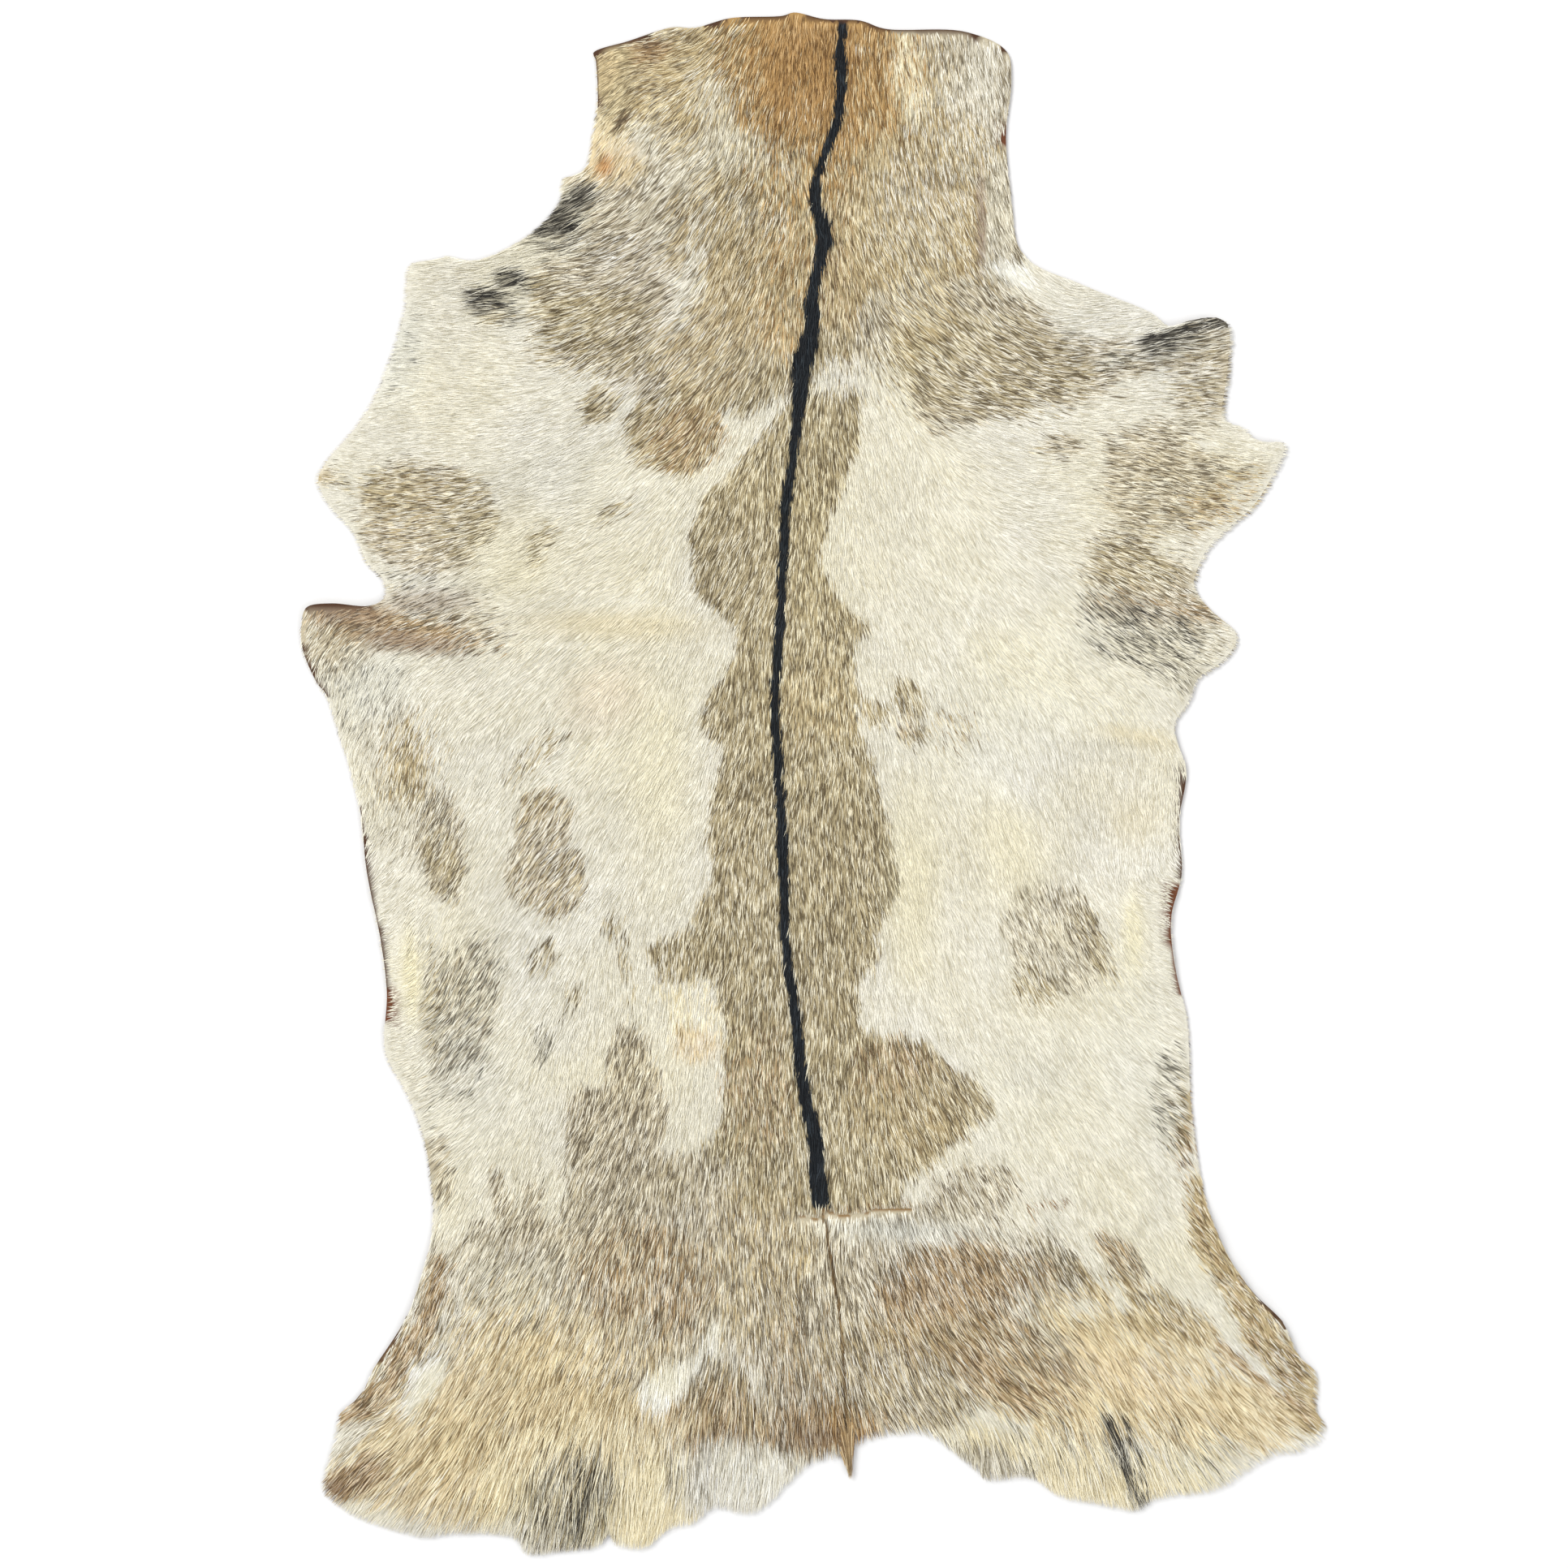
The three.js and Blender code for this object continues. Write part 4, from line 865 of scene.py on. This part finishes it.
def make_skin(ring, ground):
    """The skin: a thin sheet on the solid's folds, suede below and under-hair above, darkened as painted
    shade between the hairs.
    """
    skin = cut_sheet(ring)
    skin.name = skin.data.name = "skin"
    mesh = skin.data
    at = places_of(mesh)
    flat, over = at[:, :2], at[:, 2] > SKIN / 2
    at[:, 2] += ground.at(flat) - over * np.minimum(crease_depth(flat), SKIN - LEAST_SKIN)
    mesh.vertices.foreach_set("co", (at * MM).astype(np.float32).ravel())
    mesh.update()
    bpy.ops.object.shade_smooth_by_angle(angle=math.radians(40))

    tone = tones_at(flat, np.full(len(flat), 0.45))
    middle = np.array([linear(colours[0]) for colours in TONES.values()])
    # The skin's top under the hair takes the coat's middle colour darkened by a fifth: painted shade
    # between the hairs.
    shaded_under_hair = stained(middle[tone] * 0.8, flat, tone)
    for start, end, width, colour in BARE_EDGES:
        bare = path_distance(flat, [start, end]) < width + 1.5
        shaded_under_hair[bare] = linear(EDGE_COLOURS[colour])
    suede = linear(SUEDE) * (1 + 0.07 * noise(flat, 60, 8) + 0.05 * noise(flat, 14, 9))[:, None]
    paint(mesh, np.where(over[:, None], shaded_under_hair, suede))

    mesh.materials.append(tinted_material("suede and under-hair", 0.9, (0.8, 1.0), 0.5, 0.2))
    mesh.materials.append(cut_edge_material())
    corners = np.empty(len(mesh.loops), np.int32)
    mesh.loops.foreach_get("vertex_index", corners)
    facing = np.repeat([p.normal.z for p in mesh.polygons], 3)
    wall = np.abs(facing) < 0.6
    mesh.polygons.foreach_set("material_index", wall[::3].astype(np.int32))

    low, high = ring.min(0) - 5, ring.max(0) + 5
    spots = flat[corners].copy()
    lower_rim = wall & ~over[corners]
    outward = np.roll(ring, 1, axis=0) - np.roll(ring, -1, axis=0)
    outward = np.stack([outward[:, 1], -outward[:, 0]], -1)
    outward /= np.maximum(np.linalg.norm(outward, axis=1), 1e-6)[:, None]
    nearest = [np.argmin(np.hypot(*(ring - spot).T)) for spot in spots[lower_rim]]
    side = np.sign(((outward * (ring - ring.mean(0))).sum(1)).sum())
    spots[lower_rim] += 3 * side * outward[nearest]
    share = (spots - low) / (high - low)
    below = (facing < 0) & ~wall
    lay_map(mesh, np.stack([0.5 * share[:, 0] + 0.5 * below, share[:, 1]], -1))
    finish_piece(skin)
    return skin


def hair_roots(ring):
    """Roots scattered inside the ring, clear of the bare edges and the slit."""
    low, high = ring.min(0), ring.max(0)
    roots = np.stack(np.meshgrid(
        np.arange(low[0], high[0], HAIR_SPACING), np.arange(low[1], high[1], HAIR_SPACING),
        indexing="ij"), -1).reshape(-1, 2)
    roots = roots + rng.uniform(-ROOT_STRAY, ROOT_STRAY, roots.shape) * HAIR_SPACING
    keep = inside(roots, ring) & (path_distance(roots, SLIT) > BARE_MARGIN)
    for start, end, width, _ in BARE_EDGES:
        keep &= path_distance(roots, [start, end]) > width + BARE_MARGIN
    return roots[keep]


def trimmed(roots, way, length, coat_ring, tone):
    """Hair lengths cut so that the tips end at the coat's edge, found by halving, at the slit, and
    at the stripe's square end."""
    over = np.flatnonzero(~inside(roots + way * length[:, None], coat_ring))
    within, beyond = np.zeros(len(over)), length[over]
    for _ in range(7):
        half = (within + beyond) / 2
        fits = inside(roots[over] + way[over] * half[:, None], coat_ring)
        within, beyond = np.where(fits, half, within), np.where(fits, beyond, half)
    length[over] = within - rng.uniform(-0.9, 1.2, len(over))
    xs, ys = [x for x, _ in SLIT], [y for _, y in SLIT]
    down = np.maximum(-way[:, 1], 0.1)
    above = (roots[:, 1] - np.interp(roots[:, 0], xs, ys)) / down
    crosses = (roots[:, 0] > xs[0]) & (roots[:, 0] < xs[-1]) & (above > 0)
    length = np.where(crosses, np.minimum(length, np.maximum(above, LEAST_HAIR)), length)
    to_end = roots[:, 1] - STRIPE_END
    black = (tone == TONE_NUMBER["black"]) & (to_end > 0)
    length = np.where(black, np.minimum(length, np.maximum(to_end, LEAST_HAIR)), length)
    return np.maximum(length, LEAST_HAIR)


def hair_colours(tone, p, clump, chance):
    """Root and tip colours. Dark and light hairs lie mixed, so they show as flecks."""
    middle, dark, light = (np.array([linear(row[k]) for row in TONES.values()]) for k in range(3))
    dark_share, light_share = (np.array([row[k] for row in TONES.values()]) for k in (3, 4))
    leaning = 0.75 + 0.5 * clump + 0.25 * noise(p, 16, 11)
    is_dark = chance < dark_share[tone] * leaning
    is_light = chance > 1 - light_share[tone] * (2 - leaning)
    tip = np.where(is_dark[:, None], dark[tone], middle[tone])
    tip = np.where(is_light[:, None], light[tone], tip)
    tip = tip * (1 + 0.12 * (rng.random(len(p)) - 0.5) + 0.04 * noise(p, 34, 12))[:, None]
    warmth = 0.035 * noise(p, 60, 13) + 0.02 * noise(p, 22, 14)
    tip = tip * (1 + warmth[:, None] * np.array([0.35, 0, -1.6]))
    root = 0.65 * tip + 0.35 * middle[tone]
    return stained(root, p, tone), stained(tip, p, tone)


def hair_cells(count):
    """A small triangle of the map for each hair, root side low and tip high, in a square of cells."""
    across = math.ceil(math.sqrt(count))
    corner = np.stack([np.arange(count) % across, np.arange(count) // across], -1) / across
    margin = 0.14
    left, right = np.array([margin, margin]), np.array([1 - margin, margin])
    tip = np.array([0.5, 1 - margin])
    faces = np.array([(left, tip, right)] * 3 + [(left, (left + tip) / 2, right)])
    return (corner[:, None, None] + faces[None] / across).reshape(-1, 2)


def combed(roots):
    """Heading, length and clump of each hair: it follows the flow, a little ruffled, and the longer
    it is, the more it is drawn towards its clump's middle."""
    way, length = flow_at(roots)
    n = len(roots)
    way = turned(way, 7 * noise(roots, 12, 21) + 6 * noise(roots, 4, 22) + rng.normal(0, 6, n))
    length = length * (0.66 + 0.34 * np.clip((length - 13) / 6, 0, 1)) * rng.uniform(0.75, 1.25, n)
    cell = np.floor(roots / CLUMP + 0.35 * np.stack([noise(roots, 9, 24), noise(roots, 9, 25)], -1))
    sideways = np.stack([-way[:, 1], way[:, 0]], -1)
    drawn = (((cell + 0.5) * CLUMP - roots) * sideways).sum(1) * np.clip((length - 8) / 26, 0.05, 0.5)
    way = way + sideways * (drawn / length)[:, None]
    return way / np.linalg.norm(way, axis=1)[:, None], length, hashed(cell[:, 0], cell[:, 1], 26)


def tail_tuft():
    """Roots, headings and lengths of the long hairs of the tail, which meet near its tip."""
    roots = np.stack([
        rng.normal(TAIL_MIDDLE, TAIL_SPREAD, TAIL_HAIRS), rng.uniform(*TAIL_ROOTS, TAIL_HAIRS)], -1)
    way = np.array(TAIL_TIP) + rng.normal(0, 0.7, (TAIL_HAIRS, 2)) - roots
    length = np.linalg.norm(way, axis=1)
    return roots, way / length[:, None], length * rng.uniform(0.7, 1, TAIL_HAIRS)


def hair_corners(roots, way, length, lift, skin_ring, ground):
    """Each hair's corners: two at the sides of its root, one over the root, and the tip. Hair past
    the skin's edge droops towards the floor."""
    pressed = crease_depth(roots)
    rise = np.radians(rng.uniform(*HAIR_RISE, len(roots))) * (1 - np.minimum(0.7, pressed * 0.6))
    tips = roots + way * (length * np.cos(rise))[:, None]
    base = ground.at(roots) + SKIN - ROOT_DEPTH - np.minimum(pressed, SKIN - LEAST_SKIN) + lift
    tip_height = ground.at(tips) + SKIN + length * np.sin(rise) + 0.35 * noise(roots, 14, 23)
    beyond = ~inside(tips, skin_ring)
    tip_height = np.where(beyond, np.maximum(0.35, 0.6 * tip_height), tip_height)
    width = rng.uniform(*HAIR_WIDTH, len(roots)) * np.where(length > 15, 1.1, 1.0)
    across = np.stack([-way[:, 1], way[:, 0]], -1) * (width / 2)[:, None]
    return np.stack([
        np.c_[roots + across, base], np.c_[roots - across, base],
        np.c_[roots, base + 0.4 * width], np.c_[tips, tip_height]], 1)


def hair_piece(name, corners, colours, material):
    """One joined piece of the coat. Each hair has four corners and four faces."""
    faces = np.array([(0, 3, 1), (1, 3, 2), (2, 3, 0), (0, 1, 2)])
    triangles = (faces[None] + 4 * np.arange(len(corners))[:, None, None]).reshape(-1, 3)
    mesh = bpy.data.meshes.new(name)
    mesh.vertices.add(4 * len(corners))
    mesh.vertices.foreach_set("co", (corners * MM).astype(np.float32).ravel())
    mesh.loops.add(3 * len(triangles))
    mesh.loops.foreach_set("vertex_index", triangles.astype(np.int32).ravel())
    mesh.polygons.add(len(triangles))
    mesh.polygons.foreach_set("loop_start", np.arange(0, 3 * len(triangles), 3, dtype=np.int32))
    mesh.update(calc_edges=True)
    mesh.shade_flat()
    paint(mesh, colours.reshape(-1, 3))
    lay_map(mesh, hair_cells(len(corners)))
    mesh.materials.append(material)
    piece = bpy.data.objects.new(name, mesh)
    bpy.context.scene.collection.objects.link(piece)
    finish_piece(piece)
    return piece


def make_coat(skin_ring, coat_ring, ground):
    """The coat as fine three-sided wisps that lie along the flow, joined into five pieces."""
    roots = hair_roots(skin_ring)
    way, length, clump = combed(roots)
    n = len(roots)
    chance, shade_roll = rng.random(n), rng.random(n)
    seen = roots + way * (0.6 * length + 3 * (clump - 0.5) + 4 * (rng.random(n) - 0.5))[:, None]
    tone = tones_at(seen, chance)
    length = trimmed(roots, way, length, coat_ring, tone)

    tail_roots, tail_way, tail_length = tail_tuft()
    roots, way, length, seen, tone, clump, shade_roll, lift = (
        np.concatenate(pair) for pair in (
            (roots, tail_roots), (way, tail_way), (length, tail_length), (seen, tail_roots),
            (tone, np.full(TAIL_HAIRS, TONE_NUMBER["tail"])), (clump, np.full(TAIL_HAIRS, 0.5)),
            (shade_roll, rng.random(TAIL_HAIRS)), (np.zeros(n), np.full(TAIL_HAIRS, TAIL_LIFT))))

    corners = hair_corners(roots, way, length, lift, skin_ring, ground)
    root_colour, tip_colour = hair_colours(tone, seen, clump, shade_roll)
    colours = np.stack([root_colour, root_colour, root_colour, tip_colour], 1)
    material = tinted_material("coat hair", 0.7, (0.45, 0.75), 0.3, 0.35)
    pieces = []
    by_side = np.array_split(np.argsort(roots[:, 0], kind="stable"), len(COAT_PIECES))
    for name, part in zip(COAT_PIECES, by_side):
        rows = np.argsort(np.floor(roots[part, 1] / 4) * 1000 + roots[part, 0], kind="stable")
        part = part[rows]
        pieces.append(hair_piece(name, corners[part], colours[part], material))
    return pieces


def make_studio():
    """A plain pale floor and soft studio light."""
    bpy.ops.object.select_all(action="DESELECT")
    bpy.ops.mesh.primitive_plane_add(size=FLOOR_SIZE, location=(0, 0, -FLOOR_GAP))
    floor = bpy.context.object
    floor.name = "floor"
    paper = bpy.data.materials.new("floor paper")
    paper.use_nodes = True
    set_inputs(paper.node_tree.nodes["Principled BSDF"], Base_Color=FLOOR_COLOUR, Roughness=0.9)
    floor.data.materials.append(paper)
    world = bpy.data.worlds.new("studio")
    world.use_nodes = True
    set_inputs(world.node_tree.nodes["Background"], Color=(1, 1, 1, 1), Strength=WORLD_LIGHT)
    bpy.context.scene.world = world
    for name, place, size, watts in LIGHTS:
        lamp = bpy.data.lights.new(name, "AREA")
        lamp.size = size
        lamp.energy = watts
        light = bpy.data.objects.new(name, lamp)
        light.location = place
        light.rotation_euler = (-Vector(place)).to_track_quat("-Z", "Y").to_euler()
        bpy.context.scene.collection.objects.link(light)
    bpy.context.scene.view_settings.view_transform = "Standard"


def make_camera():
    """Straight above, with a long lens."""
    data = bpy.data.cameras.new("camera")
    data.lens, data.sensor_width = LENS, SENSOR
    camera = bpy.data.objects.new("camera", data)
    camera.location = (*FRAME_MIDDLE, FRAME_WIDTH * LENS / SENSOR)
    bpy.context.scene.collection.objects.link(camera)
    bpy.context.scene.camera = camera


coat_ring, skin_ring = coat_and_skin_edges()
ground = Underside(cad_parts["hide"])
skin = make_skin(skin_ring, ground)
coat = make_coat(skin_ring, coat_ring, ground)
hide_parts("hide")
make_studio()
make_camera()
